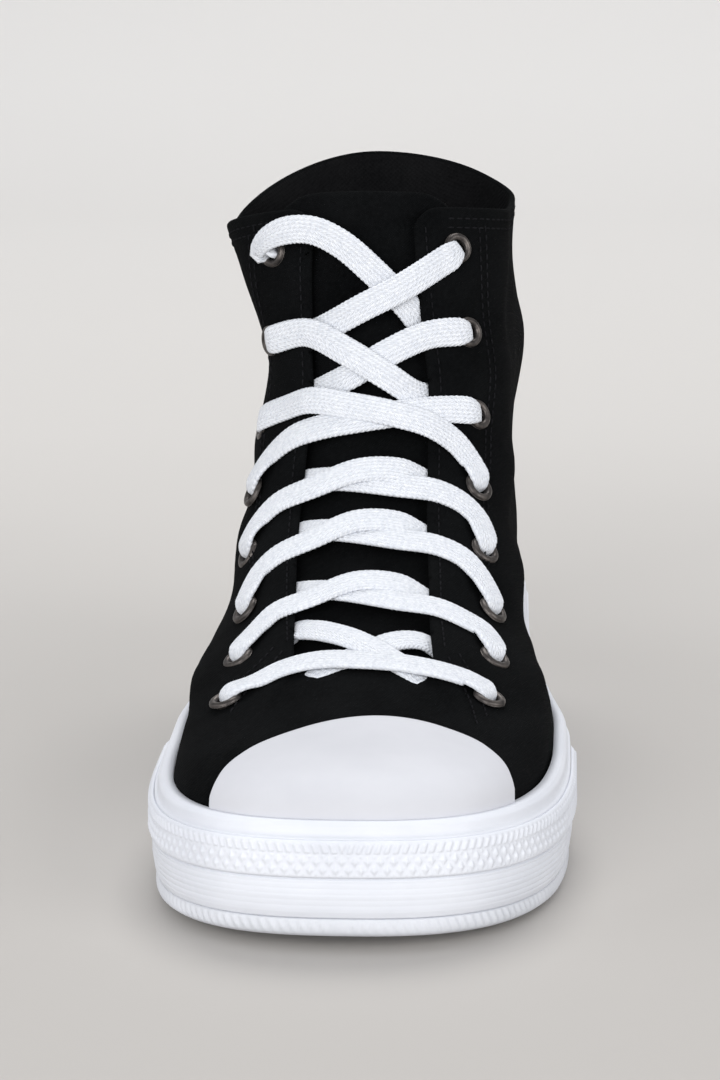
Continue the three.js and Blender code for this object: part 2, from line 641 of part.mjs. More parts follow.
// The throat's cut: its outline seen square to the line from its lower end to the collar
function makeThroat() {
  const foot = lastPoint(0, THROAT_LEVEL);
  const head = lastPoint(0, 1);
  const along = head.clone().sub(foot).setX(0).normalize();
  const across = new THREE.Vector3(1, 0, 0);
  const out = across.clone().cross(along);
  const axes = new THREE.Matrix4().makeBasis(across, along, out).setPosition(0, foot.y, foot.z);
  const stations = spread(THROAT_STATIONS, THROAT_LEVEL, 1).map((v) => {
    const step = lastPoint(0, v).sub(foot);
    return { x: throatMiddle(v), half: throatHalf(v), up: step.dot(along), depth: step.dot(out) };
  });
  const beyond = stations[stations.length - 1].up + THROAT_WIDTH;
  const right = [];
  const left = [];
  for (const turn of spread(THROAT_CORNER_POINTS, 0, Math.PI / 2)) {
    const half = stations[0].half - THROAT_CORNER * (1 - Math.sin(turn));
    const up = THROAT_CORNER * (1 - Math.cos(turn));
    right.push([stations[0].x + half, up]);
    left.push([stations[0].x - half, up]);
  }
  for (const station of stations.filter((s) => s.up > THROAT_CORNER + LACE_WIDTH / 2)) {
    right.push([station.x + station.half, station.up]);
    left.push([station.x - station.half, station.up]);
  }
  const top = stations[stations.length - 1];
  right.push([top.x + top.half, beyond]);
  left.push([top.x - top.half, beyond]);
  const deepest = Math.min(...stations.map((s) => s.depth));
  return prism([...right, ...left.reverse()], axes, deepest - THROAT_DEPTH, THROAT_WIDTH / 2);
}

function makeUpper() {
  const bend = SECTION_AT[7];
  const levels = [...spread(LOW_ROWS, 0, bend - 1 / HIGH_ROWS / 2), ...spread(HIGH_ROWS, bend, 1)];
  const outside = levels.map((v) => ring((angle) => lastPoint(angle, v)));
  const inside = levels.map((v) => ring((angle) => offsetPoint(angle, v, -CANVAS)));
  let upper = wallSolid([...outside, ...inside.reverse()]).subtract(makeThroat());
  const radius = (EYELET_BARREL + GAP) / Math.cos(Math.PI / EYELET_SIDES);
  for (const spot of [...EYELETS.medial, ...EYELETS.lateral]) {
    upper = upper.subtract(rod(spot.point, spot.normal, radius, 6 * CANVAS, EYELET_SIDES));
  }
  return upper;
}

function makeEyelet() {
  const bottom = -CANVAS - EYELET_RISE;
  const top = SEAT + EYELET_RISE;
  const profile = [
    [EYELET_HOLE, bottom],
    [EYELET_BARREL, bottom],
    [EYELET_BARREL, SEAT],
    [EYELET_FLANGE, SEAT],
    [mix(EYELET_FLANGE, EYELET_BARREL, EYELET_SLOPE), top],
    [EYELET_HOLE, top],
    [EYELET_HOLE, bottom],
  ];
  const lathe = new THREE.LatheGeometry(profile.map(([r, h]) => new THREE.Vector2(r, h)), EYELET_SIDES);
  return toGeometry(geometryToManifold(lathe));
}

// The tongue: a sheet under the throat that ends in a round top above the collar
function makeTongue() {
  const start = ridgeLevel(TONGUE_START);
  const levels = spread(TONGUE_ROWS, start, 1);
  const collarStep = lastPoint(0, 1).sub(lastPoint(0, 1 - V_STEP)).normalize();
  const rows = levels.map((v) => ({ v, rise: 0 }));
  for (const rise of TONGUE_TOP_ROWS) rows.push({ v: 1, rise: rise * TONGUE_TOP });
  const topDistance = (row) => {
    const here = lastPoint(0, row.v).distanceTo(lastPoint(0, 1));
    return TONGUE_TOP - row.rise + here;
  };
  const sheet = (depth) => rows.map((row) => {
    const left = Math.min(1, topDistance(row) / TONGUE_CORNER);
    const half = TONGUE_WIDTH / 2 - TONGUE_CORNER * (1 - Math.sqrt(1 - (1 - left) ** 2));
    return spread(TONGUE_STRIPS + 1, -half, half).map((x) => {
      const spot = frontPoint(throatMiddle(row.v) + x, row.v);
      const normal = lastNormal(spot.angle, spot.v);
      const sunk = ease((spot.point.y - TONGUE_START) / (THROAT_START - TONGUE_START));
      const under = CANVAS + mix(GAP, LACE_ROOM, sunk) + depth;
      return spot.point.addScaledVector(normal, -under).addScaledVector(collarStep, row.rise);
    });
  });
  const outer = sheet(0);
  const inner = sheet(TONGUE_THICKNESS);
  return barSolid(outer.map((row, i) => [...row, ...inner[i].slice().reverse()]));
}

// The lace

// The point over the throat that lies at x and at a distance along a direction
function throatSpot(x, along, distance) {
  const v = bisect(SECTION_AT[4], 1, (level) => frontPoint(x, level).point.dot(along) < distance);
  const spot = frontPoint(x, v);
  return { point: spot.point, normal: lastNormal(spot.angle, spot.v) };
}

// A flat strip laid over the instep from one eyelet to another. rise lifts its middle.
function laceStrip(from, to, rise) {
  const facing = from.normal.clone().add(to.normal).setX(0).normalize();
  const along = new THREE.Vector3(1, 0, 0).cross(facing).negate();
  if (along.z < 0) along.negate();
  const spots = spread(LACE_STEPS + 1, 0, 1).map((share) => {
    const x = mix(from.point.x, to.point.x, share);
    const distance = mix(from.point.dot(along), to.point.dot(along), share);
    const spot = throatSpot(x, along, distance);
    const lift = SEAT + rise * Math.sin(Math.PI * share) ** 2;
    return { point: spot.point.addScaledVector(spot.normal, lift), normal: spot.normal };
  });
  const sections = spots.map((spot, i) => {
    const before = spots[Math.max(0, i - 1)].point;
    const after = spots[Math.min(LACE_STEPS, i + 1)].point;
    const forward = after.clone().sub(before).normalize();
    const width = spot.normal.clone().cross(forward).normalize().multiplyScalar(LACE_WIDTH / 2);
    const thick = spot.normal.clone().multiplyScalar(LACE_THICKNESS);
    const a = spot.point.clone().add(width);
    const b = spot.point.clone().sub(width);
    return [b, a, a.clone().add(thick), b.clone().add(thick)];
  });
  return barSolid(sections);
}

function clearOfEyelets(solid) {
  let cleared = solid;
  const radius = (EYELET_FLANGE + GAP) / Math.cos(Math.PI / EYELET_SIDES);
  for (const spot of [...EYELETS.medial, ...EYELETS.lateral]) {
    cleared = cleared.subtract(rod(spot.point, spot.normal, radius, 8 * EYELET_RISE, EYELET_SIDES));
  }
  return cleared;
}

// The plane across the throat at a pair of eyelets, moved along the throat
function pairPlane(pair, shift) {
  const a = EYELETS.medial[pair];
  const b = EYELETS.lateral[pair];
  const facing = a.normal.clone().add(b.normal).setX(0).normalize();
  const across = b.point.clone().sub(a.point).normalize();
  const up = facing.clone().cross(across).normalize();
  if (up.z < 0) up.negate();
  return { up, offset: a.point.clone().add(b.point).multiplyScalar(0.5).dot(up) + shift };
}

function keepBetween(solid, low, high) {
  const trimmed = solid.trimByPlane(low.up.toArray(), low.offset);
  return trimmed.trimByPlane(high.up.clone().negate().toArray(), -high.offset);
}

function makeLaceBar() {
  return clearOfEyelets(laceStrip(EYELETS.medial[0], EYELETS.lateral[0], 0));
}

function makeLaceCrossing(pair) {
  const over = laceStrip(EYELETS.medial[pair], EYELETS.lateral[pair + 1], LACE_RISE);
  const under = laceStrip(EYELETS.lateral[pair], EYELETS.medial[pair + 1], 0);
  const start = pair === 0 ? LACE_WIDTH / 2 + 2 * GAP : GAP;
  const crossing = over.add(under);
  return keepBetween(clearOfEyelets(crossing), pairPlane(pair, start), pairPlane(pair + 1, -GAP));
}

// Materials and the assembly

const rubber = new THREE.MeshStandardMaterial({ color: 0xe6e9f2, roughness: 0.5, metalness: 0 });
const sole = new THREE.MeshStandardMaterial({ color: 0xe2e5ee, roughness: 0.6, metalness: 0 });
const capRubber = new THREE.MeshStandardMaterial({ color: 0xdcdce4, roughness: 0.42, metalness: 0 });
const canvas = new THREE.MeshStandardMaterial({ color: 0x26282a, roughness: 0.95, metalness: 0 });
const lining = new THREE.MeshStandardMaterial({ color: 0xd9d6cc, roughness: 0.95, metalness: 0 });
const metal = new THREE.MeshStandardMaterial({ color: 0x4a4644, roughness: 0.4, metalness: 0.9 });
const cotton = new THREE.MeshStandardMaterial({ color: 0xe4e9f4, roughness: 0.9, metalness: 0 });

const shoe = new THREE.Group();

function addPiece(name, geometry, material) {
  const mesh = new THREE.Mesh(geometry, material);
  mesh.name = name;
  shoe.add(mesh);
  return mesh;
}

addPiece("outsole", toGeometry(makeOutsole()), sole);
addPiece("foxing", toGeometry(makeFoxing()), rubber);
addPiece("toe_bumper", toGeometry(makeBumper()), rubber);
addPiece("toe_cap", toGeometry(makeToeCap()), capRubber);
addPiece("upper", toGeometry(makeUpper()), canvas);
addPiece("tongue", toGeometry(makeTongue()), canvas);
addPiece("insole", toGeometry(makeInsole()), lining);

const eyeletGeometry = makeEyelet();
for (const [side, spots] of Object.entries(EYELETS)) {
  spots.forEach((spot, i) => {
    const eyelet = addPiece(`eyelet_${side}_${i + 1}`, eyeletGeometry, metal);
    eyelet.position.copy(spot.point);
    eyelet.quaternion.setFromUnitVectors(new THREE.Vector3(0, 1, 0), spot.normal);
  });
}

addPiece("lace_bar", toGeometry(makeLaceBar()), cotton);
for (let pair = 0; pair < EYELET_PAIRS - 1; pair += 1) {
  addPiece(`lace_crossing_${pair + 1}`, toGeometry(makeLaceCrossing(pair)), cotton);
}

const box = new THREE.Box3().setFromObject(shoe);
const middle = box.getCenter(new THREE.Vector3());
shoe.position.set(-middle.x, -middle.y, -box.min.z);
shoe.updateMatrixWorld(true);

export default shoe;
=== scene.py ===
# A black canvas high top sneaker with white rubber: one left shoe, standing on a pale floor.
# Shapes are worked out in millimetres, with y = 0 at the canvas toe and +X towards the outer side of
# the foot. to_frame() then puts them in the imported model's frame, in metres.
import math

import bpy
import numpy as np
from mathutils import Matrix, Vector


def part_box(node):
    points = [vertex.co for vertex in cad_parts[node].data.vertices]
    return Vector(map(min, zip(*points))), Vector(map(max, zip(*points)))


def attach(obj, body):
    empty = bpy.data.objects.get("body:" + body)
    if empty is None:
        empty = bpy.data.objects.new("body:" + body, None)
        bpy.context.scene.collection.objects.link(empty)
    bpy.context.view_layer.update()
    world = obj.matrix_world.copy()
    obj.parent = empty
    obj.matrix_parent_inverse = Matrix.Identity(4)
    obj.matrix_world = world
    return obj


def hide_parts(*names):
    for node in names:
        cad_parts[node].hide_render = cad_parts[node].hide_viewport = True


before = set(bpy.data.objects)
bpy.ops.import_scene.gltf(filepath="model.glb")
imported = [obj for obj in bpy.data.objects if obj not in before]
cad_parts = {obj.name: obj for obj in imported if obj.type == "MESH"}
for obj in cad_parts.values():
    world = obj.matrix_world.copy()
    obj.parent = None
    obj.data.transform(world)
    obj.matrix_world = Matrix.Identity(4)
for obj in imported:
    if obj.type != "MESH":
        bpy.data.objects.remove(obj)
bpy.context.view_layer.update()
MM = 0.001

# The last and the shaft, outside the canvas, as in the construction
UPPER_LENGTH = 287
BALL_WIDTH = 96.5
WAIST_WIDTH = 77
HEEL_WIDTH = 72.5
SHAFT_WIDTH = 74
INSTEP_HEIGHT = 81
COLLAR_HEIGHT = 161
CANVAS = 1.8

# The sole
OUTSOLE_THICKNESS = 4.5
FOXING_THICKNESS = 5.6
FOXING_HEIGHT_TOE = 29
FOXING_HEIGHT_HEEL = 34.5
FOXING_RISE_END = 0.7
PLATFORM_HEIGHT = 10.7
INSOLE_THICKNESS = 3.2
TOE_SPRING = 4.5
SPRING_LENGTH = 73
ARCH_RISE, ARCH_FROM, ARCH_TO, ARCH_EASE = 1.2, 0.36, 0.7, 0.12
HEEL_BEVEL, HEEL_BEVEL_LENGTH = 1.6, 16
GROOVE_WIDTH, GROOVE_DEPTH, GROOVE_PITCH, GROOVE_MARGIN = 2.6, 1.2, 12, 9

# The rubber toe
BUMPER_THICKNESS = 1.1
BUMPER_REACH = 92
BUMPER_BOTTOM, BUMPER_TOP = 0.43, 0.82
CAP_THICKNESS = 1.5
CAP_LENGTH, CAP_HALF_WIDTH, CAP_CENTRE, CAP_SWEEP, CAP_SLANT = 41, 39, 5.5, 37, 0.16

# The lacing
THROAT_WIDTH, THROAT_TOP_WIDTH = 38.5, 30
THROAT_SHIFT = -2.5
THROAT_START = 71
THROAT_CORNER = 8
FLAP_CORNER = 7  # radius of the flaps' top corners
EYELET_PAIRS = 8
EYELET_INSET, EYELET_FLARE = 10, 4.5
EYELET_AHEAD = 3.5
EYELET_LAST = 11
EYELET_HOLE, EYELET_BARREL, EYELET_FLANGE, EYELET_RISE = 2.3, 2.9, 4.4, 0.8
LACE_WIDTH = 8
LACE_THICKNESS = 1.3
LACE_ROOM = 2.0
TONGUE_THICKNESS = 2.4
TONGUE_WIDTH = 62
TONGUE_START = 50
TONGUE_TOP = 5
TONGUE_CORNER = 16
GAP = 0.3
CAD_AROUND = 36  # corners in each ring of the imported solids

# at, centre and half in shares; the last column is the width that half is a share of
FOOT_OUTLINE = (
    (0.0, 0.0, 0.466, BALL_WIDTH),
    (0.08, 0.012, 0.477, BALL_WIDTH),
    (0.17, 0.027, 0.49, BALL_WIDTH),
    (0.26, 0.036, 0.5, BALL_WIDTH),
    (0.34, 0.038, 0.5, BALL_WIDTH),
    (0.44, 0.035, 0.585, WAIST_WIDTH),
    (0.54, 0.035, 0.535, WAIST_WIDTH),
    (0.64, 0.038, 0.5, WAIST_WIDTH),
    (0.74, 0.041, 0.513, HEEL_WIDTH),
    (0.86, 0.044, 0.502, HEEL_WIDTH),
    (1.0, 0.044, 0.494, HEEL_WIDTH),
)

SECTION_COLUMNS = ("front_y", "front_z", "back_y", "back_z", "fore", "mid", "rear", "nose", "tail",
                   "blunt", "dip_in", "dip_out", "lean", "ridge", "shaft")
SECTIONS = (
    (0.007, 0.136, 0.991, 0.136, 0.97, 0.97, 0.96, 0.23, 0.125, 2.6, 0, 0, 0, 0, 0),
    (0.002, 0.259, 0.9965, 0.247, 0.99, 0.99, 0.99, 0.23, 0.125, 2.6, 0, 0, 0, 0, 0),
    (0.0035, 0.37, 1.0, 0.37, 1.0, 1.0, 1.0, 0.23, 0.125, 2.6, 0, 0, 0, 0.01, 0),
    (0.017, 0.444, 1.0, 0.444, 0.985, 1.01, 1.0, 0.244, 0.125, 2.5, 0, 0, 0, 0.021, 0),
    (0.052, 0.494, 0.998, 0.506, 0.965, 1.01, 1.0, 0.279, 0.125, 2.3, 0, 0, -0.005, 0.026, 0),
    (0.108, 0.535, 0.9965, 0.568, 0.94, 1.01, 1.01, 0.328, 0.122, 2.1, 0, 0, -0.01, 0.031, 0),
    (0.171, 0.583, 0.994, 0.642, 0.92, 0.99, 1.02, 0.362, 0.122, 2.0, 0, 0, -0.012, 0.036, 0),
    (0.251, 0.657, 0.9895, 0.728, 0.9, 0.97, 1.02, 0.348, 0.118, 2.0, 0, 0, -0.012, 0.031, 0),
    (0.331, 0.747, 0.984, 0.84, 0.88, 0.965, 1.01, 0.286, 0.118, 2.0, 0, 0, -0.01, 0.01, 0),
    (0.408, 0.858, 0.979, 0.963, 0.84, 0.975, 1.0, 0.216, 0.115, 2.0, 0, 0, -0.01, 0.003, 0),
    (0.477, 1.0, 0.974, 1.1, 0.8, 0.96, 0.99, 0.167, 0.111, 2.0, 0, 0, -0.01, -0.006, 0.3),
    (0.53, 1.163, 0.971, 1.25, 0.8, 0.93, 0.99, 0.136, 0.111, 2.0, 0, 0, -0.002, -0.01, 0.7),
    (0.568, 1.338, 0.97, 1.413, 0.8, 0.92, 1.0, 0.118, 0.108, 2.0, 0.006, 0.006, 0.004, -0.012, 1),
    (0.596, 1.538, 0.9715, 1.588, 0.8, 0.95, 1.02, 0.108, 0.108, 2.0, 0.025, 0.012, -0.023, 0.0, 1),
    (0.6185, 1.75, 0.9755, 1.788, 0.8, 1.01, 1.07, 0.105, 0.108, 2.0, 0.056, 0.025, -0.052, 0.016, 1),
    (0.6375, 1.95, 0.981, 2.0, 0.8, 1.04, 1.13, 0.105, 0.118, 2.0, 0.093, 0.05, -0.07, 0.031, 1),
)
FORE_AT, MID_AT, REAR_AT = 0.25, 0.55, 0.85
DIP_FORWARD = 0.4

FOXING_ALONG = ((0.0, 1.15), (0.3, 1.0), (0.55, 0.76), (0.86, 0.76), (1.0, 1.05))
FOXING_PROFILE = ((0.0, 0.78), (0.07, 0.9), (0.24, 1.0), (0.4, 1.0), (0.42, 0.93), (0.83, 0.88),
                  (0.85, 0.76), (0.95, 0.69), (1.0, 0.52))
OUTSOLE_EDGE = ((0.0, 0.55), (0.2, 0.78), (0.55, 0.84), (1.0, 0.8))
OUTSOLE_WIDEST = 0.84


# Curves through tables

def ease(share):
    u = np.clip(share, 0, 1)
    return u * u * (3 - 2 * u)


def curve(places, values):
    """A smooth curve through values at rising places, without overshoot, as a function. The values
    may be rows of several numbers."""
    places = np.asarray(places, float)
    values = np.asarray(values, float)
    shape = (-1,) + (1,) * (values.ndim - 1)
    slopes = np.diff(values, axis=0) / np.diff(places).reshape(shape)
    before, after = slopes[:-1], slopes[1:]
    total = np.where(before + after == 0, 1, before + after)
    turn = np.where(before * after > 0, 2 * before * after / total, 0)
    tangents = np.concatenate([slopes[:1], turn, slopes[-1:]])

    def read(at):
        x = np.clip(at, places[0], places[-1])
        i = np.clip(np.searchsorted(places, x, side="right") - 1, 0, len(places) - 2)
        step = places[i + 1] - places[i]
        t = (x - places[i]) / step
        start = 2 * t ** 3 - 3 * t ** 2 + 1
        first, second = (t ** 3 - 2 * t ** 2 + t) * step, (t ** 3 - t ** 2) * step
        if values.ndim > 1:
            start, first, second = start[..., None], first[..., None], second[..., None]
        ends = start * values[i] + (1 - start) * values[i + 1]
        return ends + first * tangents[i] + second * tangents[i + 1]

    return read


outline_at = curve([row[0] for row in FOOT_OUTLINE],
                   [(row[1] * BALL_WIDTH, row[2] * row[3]) for row in FOOT_OUTLINE])
SECTION_AT = np.linspace(0, 1, len(SECTIONS))
section_at = curve(SECTION_AT, SECTIONS)


def section_height(z):
    above = INSTEP_HEIGHT + (COLLAR_HEIGHT - INSTEP_HEIGHT) * (z - 1)
    return np.where(z < 1, z * INSTEP_HEIGHT, above)


def spring_lift(y):
    return TOE_SPRING * np.maximum(0, 1 - np.maximum(0, y + FOXING_THICKNESS) / SPRING_LENGTH) ** 2


def round_end(share, power):
    u = np.clip(share, 0, 1)
    return np.maximum(0, 1 - (1 - u) ** power) ** (1 / power)


def last_point(angle, v):
    """The outside of the canvas: angle 0 at the front, a quarter turn at the outer side; v 0 to 1."""
    angle, v = np.broadcast_arrays(np.asarray(angle, float), np.asarray(v, float))
    read = section_at(v)
    s = {name: read[..., i] for i, name in enumerate(SECTION_COLUMNS)}
    along = (1 - np.cos(angle)) / 2
    share = s["front_y"] + (s["back_y"] - s["front_y"]) * along
    side = np.sin(angle)
    side_dip = np.where(side > 0, s["dip_out"], s["dip_in"]) * COLLAR_HEIGHT
    dip = side_dip * side ** 2 * (1 - DIP_FORWARD * np.cos(angle))
    low, high = section_height(s["front_z"]), section_height(s["back_z"])
    z = low + (high - low) * along - dip
    ahead = s["fore"] + (s["mid"] - s["fore"]) * ease((share - FORE_AT) / (MID_AT - FORE_AT))
    behind = s["mid"] + (s["rear"] - s["mid"]) * ease((share - MID_AT) / (REAR_AT - MID_AT))
    girth = np.where(share < MID_AT, ahead, behind)
    middle, foot = np.moveaxis(outline_at(share), -1, 0)
    nose = (share - s["front_y"]) / s["nose"]
    tail = (s["back_y"] - share) / s["tail"]
    half = foot + (SHAFT_WIDTH / 2 - foot) * s["shaft"]
    half = half * girth * round_end(nose, s["blunt"]) * round_end(tail, 2)
    forward = np.maximum(0, 1 - np.maximum(0, nose)) ** 2
    centre = middle + (s["lean"] + s["ridge"] * forward) * BALL_WIDTH
    y = share * UPPER_LENGTH
    return np.stack([centre + np.sign(side) * half, y, z + spring_lift(y)], -1)


ANGLE_STEP = 0.02
V_STEP = 0.004


def unit(vectors):
    return vectors / np.maximum(np.linalg.norm(vectors, axis=-1, keepdims=True), 1e-12)


def run_lengths(points):
    """The length along a polyline up to each of its points."""
    return np.concatenate([[0], np.cumsum(np.linalg.norm(np.diff(points, axis=0), axis=1))])


def full_turn(count):
    return np.arange(count) * 2 * math.pi / count


def corner_drop(share):
    """How far a round corner of radius 1 falls back at a share of its width."""
    return 1 - np.sqrt(1 - share ** 2)


def across_axis(axis):
    """Two directions square to an axis and to each other."""
    first = unit(np.cross(axis, [0.0, 0.0, 1.0]))
    return first, np.cross(axis, first)


def last_slopes(angle, v):
    """How a point moves with the angle and with v."""
    above, below = np.minimum(1, v + V_STEP), np.maximum(0, v - V_STEP)
    around = (last_point(angle + ANGLE_STEP, v) - last_point(angle - ANGLE_STEP, v)) / (2 * ANGLE_STEP)
    up = (last_point(angle, above) - last_point(angle, below)) / (above - below)[..., None]
    return around, up


def last_normal(angle, v):
    angle, v = np.broadcast_arrays(np.asarray(angle, float), np.asarray(v, float))
    around, up = last_slopes(angle, v)
    return unit(np.cross(around, up))


def bisect(low, high, goes_on, steps=24):
    """Halves ranges until they are small, keeping the places where goes_on turns false."""
    a, b = np.array(low, float), np.array(high, float)
    for _ in range(steps):
        middle = (a + b) / 2
        on = goes_on(middle)
        a = np.where(on, middle, a)
        b = np.where(on, b, middle)
    return (a + b) / 2


def front_angle(x, v):
    """The angle at which the section v passes x on its front half."""
    x, v = np.broadcast_arrays(np.asarray(x, float), np.asarray(v, float))
    side = np.where(x > last_point(0 * v, v)[..., 0], 1.0, -1.0)
    turn = bisect(0 * v, 0 * v + math.pi / 2,
                  lambda a: side * (last_point(side * a, v)[..., 0] - x) < 0)
    return side * turn


def ridge_level(y):
    return float(bisect(0.0, 1.0, lambda v: last_point(0, v)[..., 1] < y))


# The sole's heights and outlines

def foxing_top(y):
    share = ease(y / UPPER_LENGTH / FOXING_RISE_END)
    return FOXING_HEIGHT_TOE + (FOXING_HEIGHT_HEEL - FOXING_HEIGHT_TOE) * share + spring_lift(y)


def foxing_bottom(y):
    return OUTSOLE_THICKNESS + GAP + spring_lift(y)


RUBBER_LEVEL = SECTION_AT[2]


def outline_point(angle, v, distance):
    normal = last_normal(angle, v)
    normal[..., 2] = 0
    return last_point(angle, v) + unit(normal) * np.asarray(distance, float)[..., None]


foxing_along = curve(*zip(*FOXING_ALONG))
outsole_edge = curve(*zip(*OUTSOLE_EDGE))


def rubber_thickness(y):
    return FOXING_THICKNESS * foxing_along(y / UPPER_LENGTH)


def rubber_point(angle, out, extra=0.0):
    """A point round the sole, out being a share of the side strip's thickness."""
    thickness = rubber_thickness(last_point(angle, RUBBER_LEVEL)[..., 1])
    return outline_point(angle, np.full_like(thickness, RUBBER_LEVEL), out * thickness + extra)


def underside(y):
    share = y / UPPER_LENGTH
    arch = ARCH_RISE * ease((share - ARCH_FROM) / ARCH_EASE) * ease((ARCH_TO - share) / ARCH_EASE)
    back = np.maximum(0, 1 - (UPPER_LENGTH - y) / HEEL_BEVEL_LENGTH)
    return spring_lift(y) + arch + HEEL_BEVEL * back ** 2


def frame_shift():
    """What moves the shoe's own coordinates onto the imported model, from the outsole's box."""
    low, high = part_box("outsole")
    ring = rubber_point(full_turn(CAD_AROUND), OUTSOLE_WIDEST)
    return np.array([(low[i] + high[i]) / 2 / MM - (ring[:, i].min() + ring[:, i].max()) / 2
                     for i in (0, 1)] + [0.0])


SHIFT = frame_shift()


def to_frame(points):
    return (np.asarray(points) + SHIFT) * MM


# Meshes

def grid_faces(rows, columns, closed=True):
    i = np.arange(rows - 1)[:, None]
    j = np.arange(columns if closed else columns - 1)[None, :]
    a = i * columns + j
    b = i * columns + (j + 1) % columns
    return np.stack([a, b, b + columns, a + columns], -1).reshape(-1, 4)


def border(faces, count):
    """The directed edges that only one face has."""
    edges = np.concatenate([faces[:, [0, 1]], faces[:, [1, 2]], faces[:, [2, 3]], faces[:, [3, 0]]])
    edges = edges[edges[:, 0] != edges[:, 1]]
    there = edges[:, 0] * count + edges[:, 1]
    back = edges[:, 1] * count + edges[:, 0]
    return edges[~np.isin(there, back)]


def shell(points, normals, faces, thickness, rim=4):
    """A closed sheet under a surface, with round rims. Returns its vertices, its faces and how many
    of the faces, the first ones, are the outside."""
    count = len(points)
    edges = border(faces, count)
    rims = np.unique(edges)
    place = {int(vertex): i for i, vertex in enumerate(rims)}
    away = np.zeros((count, 3))
    outward = np.cross(points[edges[:, 1]] - points[edges[:, 0]], normals[edges[:, 0]])
    np.add.at(away, edges[:, 0], outward)
    np.add.at(away, edges[:, 1], outward)
    away = unit(away[rims])
    up = normals[rims]
    middle = points[rims] - up * thickness / 2
    levels = [rims]
    vertices = [points, points - normals * thickness]
    for k in range(1, rim + 1):
        turn = math.pi * k / (rim + 1)
        vertices.append(middle + (up * math.cos(turn) + away * math.sin(turn)) * thickness / 2)
        levels.append(2 * count + (k - 1) * len(rims) + np.arange(len(rims)))
    levels.append(rims + count)
    a = np.array([place[int(e)] for e in edges[:, 0]])
    b = np.array([place[int(e)] for e in edges[:, 1]])
    strips = [np.stack([low[b], low[a], high[a], high[b]], -1) for low, high in zip(levels, levels[1:])]
    everything = np.concatenate([faces, *strips, faces[:, ::-1] + count])
    return np.concatenate(vertices), everything, len(everything) - len(faces)


def make_piece(name, points, faces, materials, replaced=(), inside_from=None, numbers=None):
    """A mesh that rides on the shoe's body. Points are in the shoe's own millimetres."""
    mesh = bpy.data.meshes.new(name)
    placed = to_frame(points)
    faces = [tuple(dict.fromkeys(face)) for face in np.asarray(faces).tolist()]
    faces = [face for face in faces if len(face) > 2]
    mesh.from_pydata(placed.tolist(), [], faces)
    mesh.polygons.foreach_set("use_smooth", [True] * len(mesh.polygons))
    for material in materials:
        mesh.materials.append(material)
    if inside_from is not None:
        index = np.zeros(len(mesh.polygons), dtype=np.int32)
        index[inside_from:] = 1
        mesh.polygons.foreach_set("material_index", index)
    for key, values in (numbers or {}).items():
        attribute = mesh.attributes.new(key, "FLOAT", "POINT")
        attribute.data.foreach_set("value", np.asarray(values, dtype=np.float32))
    mesh.update()
    piece = bpy.data.objects.new(name, mesh)
    bpy.context.scene.collection.objects.link(piece)
    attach(piece, "root")
    if replaced:
        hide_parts(*replaced)
    return piece


# Materials

class Nodes:
    """A small helper for one material's nodes."""

    def __init__(self, name, roughness, specular=0.5, **sockets):
        self.material = bpy.data.materials.new(name)
        self.material.use_nodes = True
        self.tree = self.material.node_tree
        self.shader = self.tree.nodes["Principled BSDF"]
        self.shader.inputs["Roughness"].default_value = roughness
        self.shader.inputs["Specular IOR Level"].default_value = specular
        for key, value in sockets.items():
            self.shader.inputs[key.replace("_", " ")].default_value = value
        self.where = self.tree.nodes.new("ShaderNodeNewGeometry").outputs["Position"]

    def add(self, kind, **settings):
        node = self.tree.nodes.new(kind)
        for key, value in settings.items():
            if key in node.inputs:
                node.inputs[key].default_value = value
            else:
                setattr(node, key, value)
        return node

    def link(self, output, socket):
        self.tree.links.new(output, socket)

    def noise(self, scale, detail=3.0, roughness=0.55):
        node = self.add("ShaderNodeTexNoise", Scale=scale, Detail=detail, Roughness=roughness)
        self.link(self.where, node.inputs["Vector"])
        return node.outputs["Fac"]

    def math(self, operation, a, b=None):
        node = self.add("ShaderNodeMath", operation=operation)
        for socket, value in zip(node.inputs, (a, b)):
            if value is None:
                continue
            if isinstance(value, (int, float)):
                socket.default_value = value
            else:
                self.link(value, socket)
        return node.outputs[0]

    def part(self, axis):
        node = self.add("ShaderNodeSeparateXYZ")
        self.link(self.where, node.inputs[0])
        return node.outputs[axis]

    def number(self, name):
        return self.add("ShaderNodeAttribute", attribute_name=name).outputs["Fac"]

    def wave(self, value, pitch):
        """A sine of a length, between -1 and 1."""
        return self.math("SINE", self.math("MULTIPLY", value, 2 * math.pi / pitch))

    def ramp(self, value, stops):
        node = self.add("ShaderNodeValToRGB")
        self.link(value, node.inputs[0])
        elements = node.color_ramp.elements
        while len(elements) < len(stops):
            elements.new(0.5)
        for element, (place, colour) in zip(elements, stops):
            element.position = place
            element.color = (*colour, 1)
        return node.outputs[0]

    def colour(self, output):
        self.link(output, self.shader.inputs["Base Color"])

    def rough(self, value, low, high):
        node = self.add("ShaderNodeMapRange")
        self.link(value, node.inputs["Value"])
        node.inputs["To Min"].default_value = low
        node.inputs["To Max"].default_value = high
        self.link(node.outputs[0], self.shader.inputs["Roughness"])

    def bump(self, height, distance, strength=1.0):
        node = self.add("ShaderNodeBump", Distance=distance, Strength=strength)
        self.link(height, node.inputs["Height"])
        previous = self.shader.inputs["Normal"]
        if previous.is_linked:
            self.link(previous.links[0].from_socket, node.inputs["Normal"])
        self.link(node.outputs[0], previous)


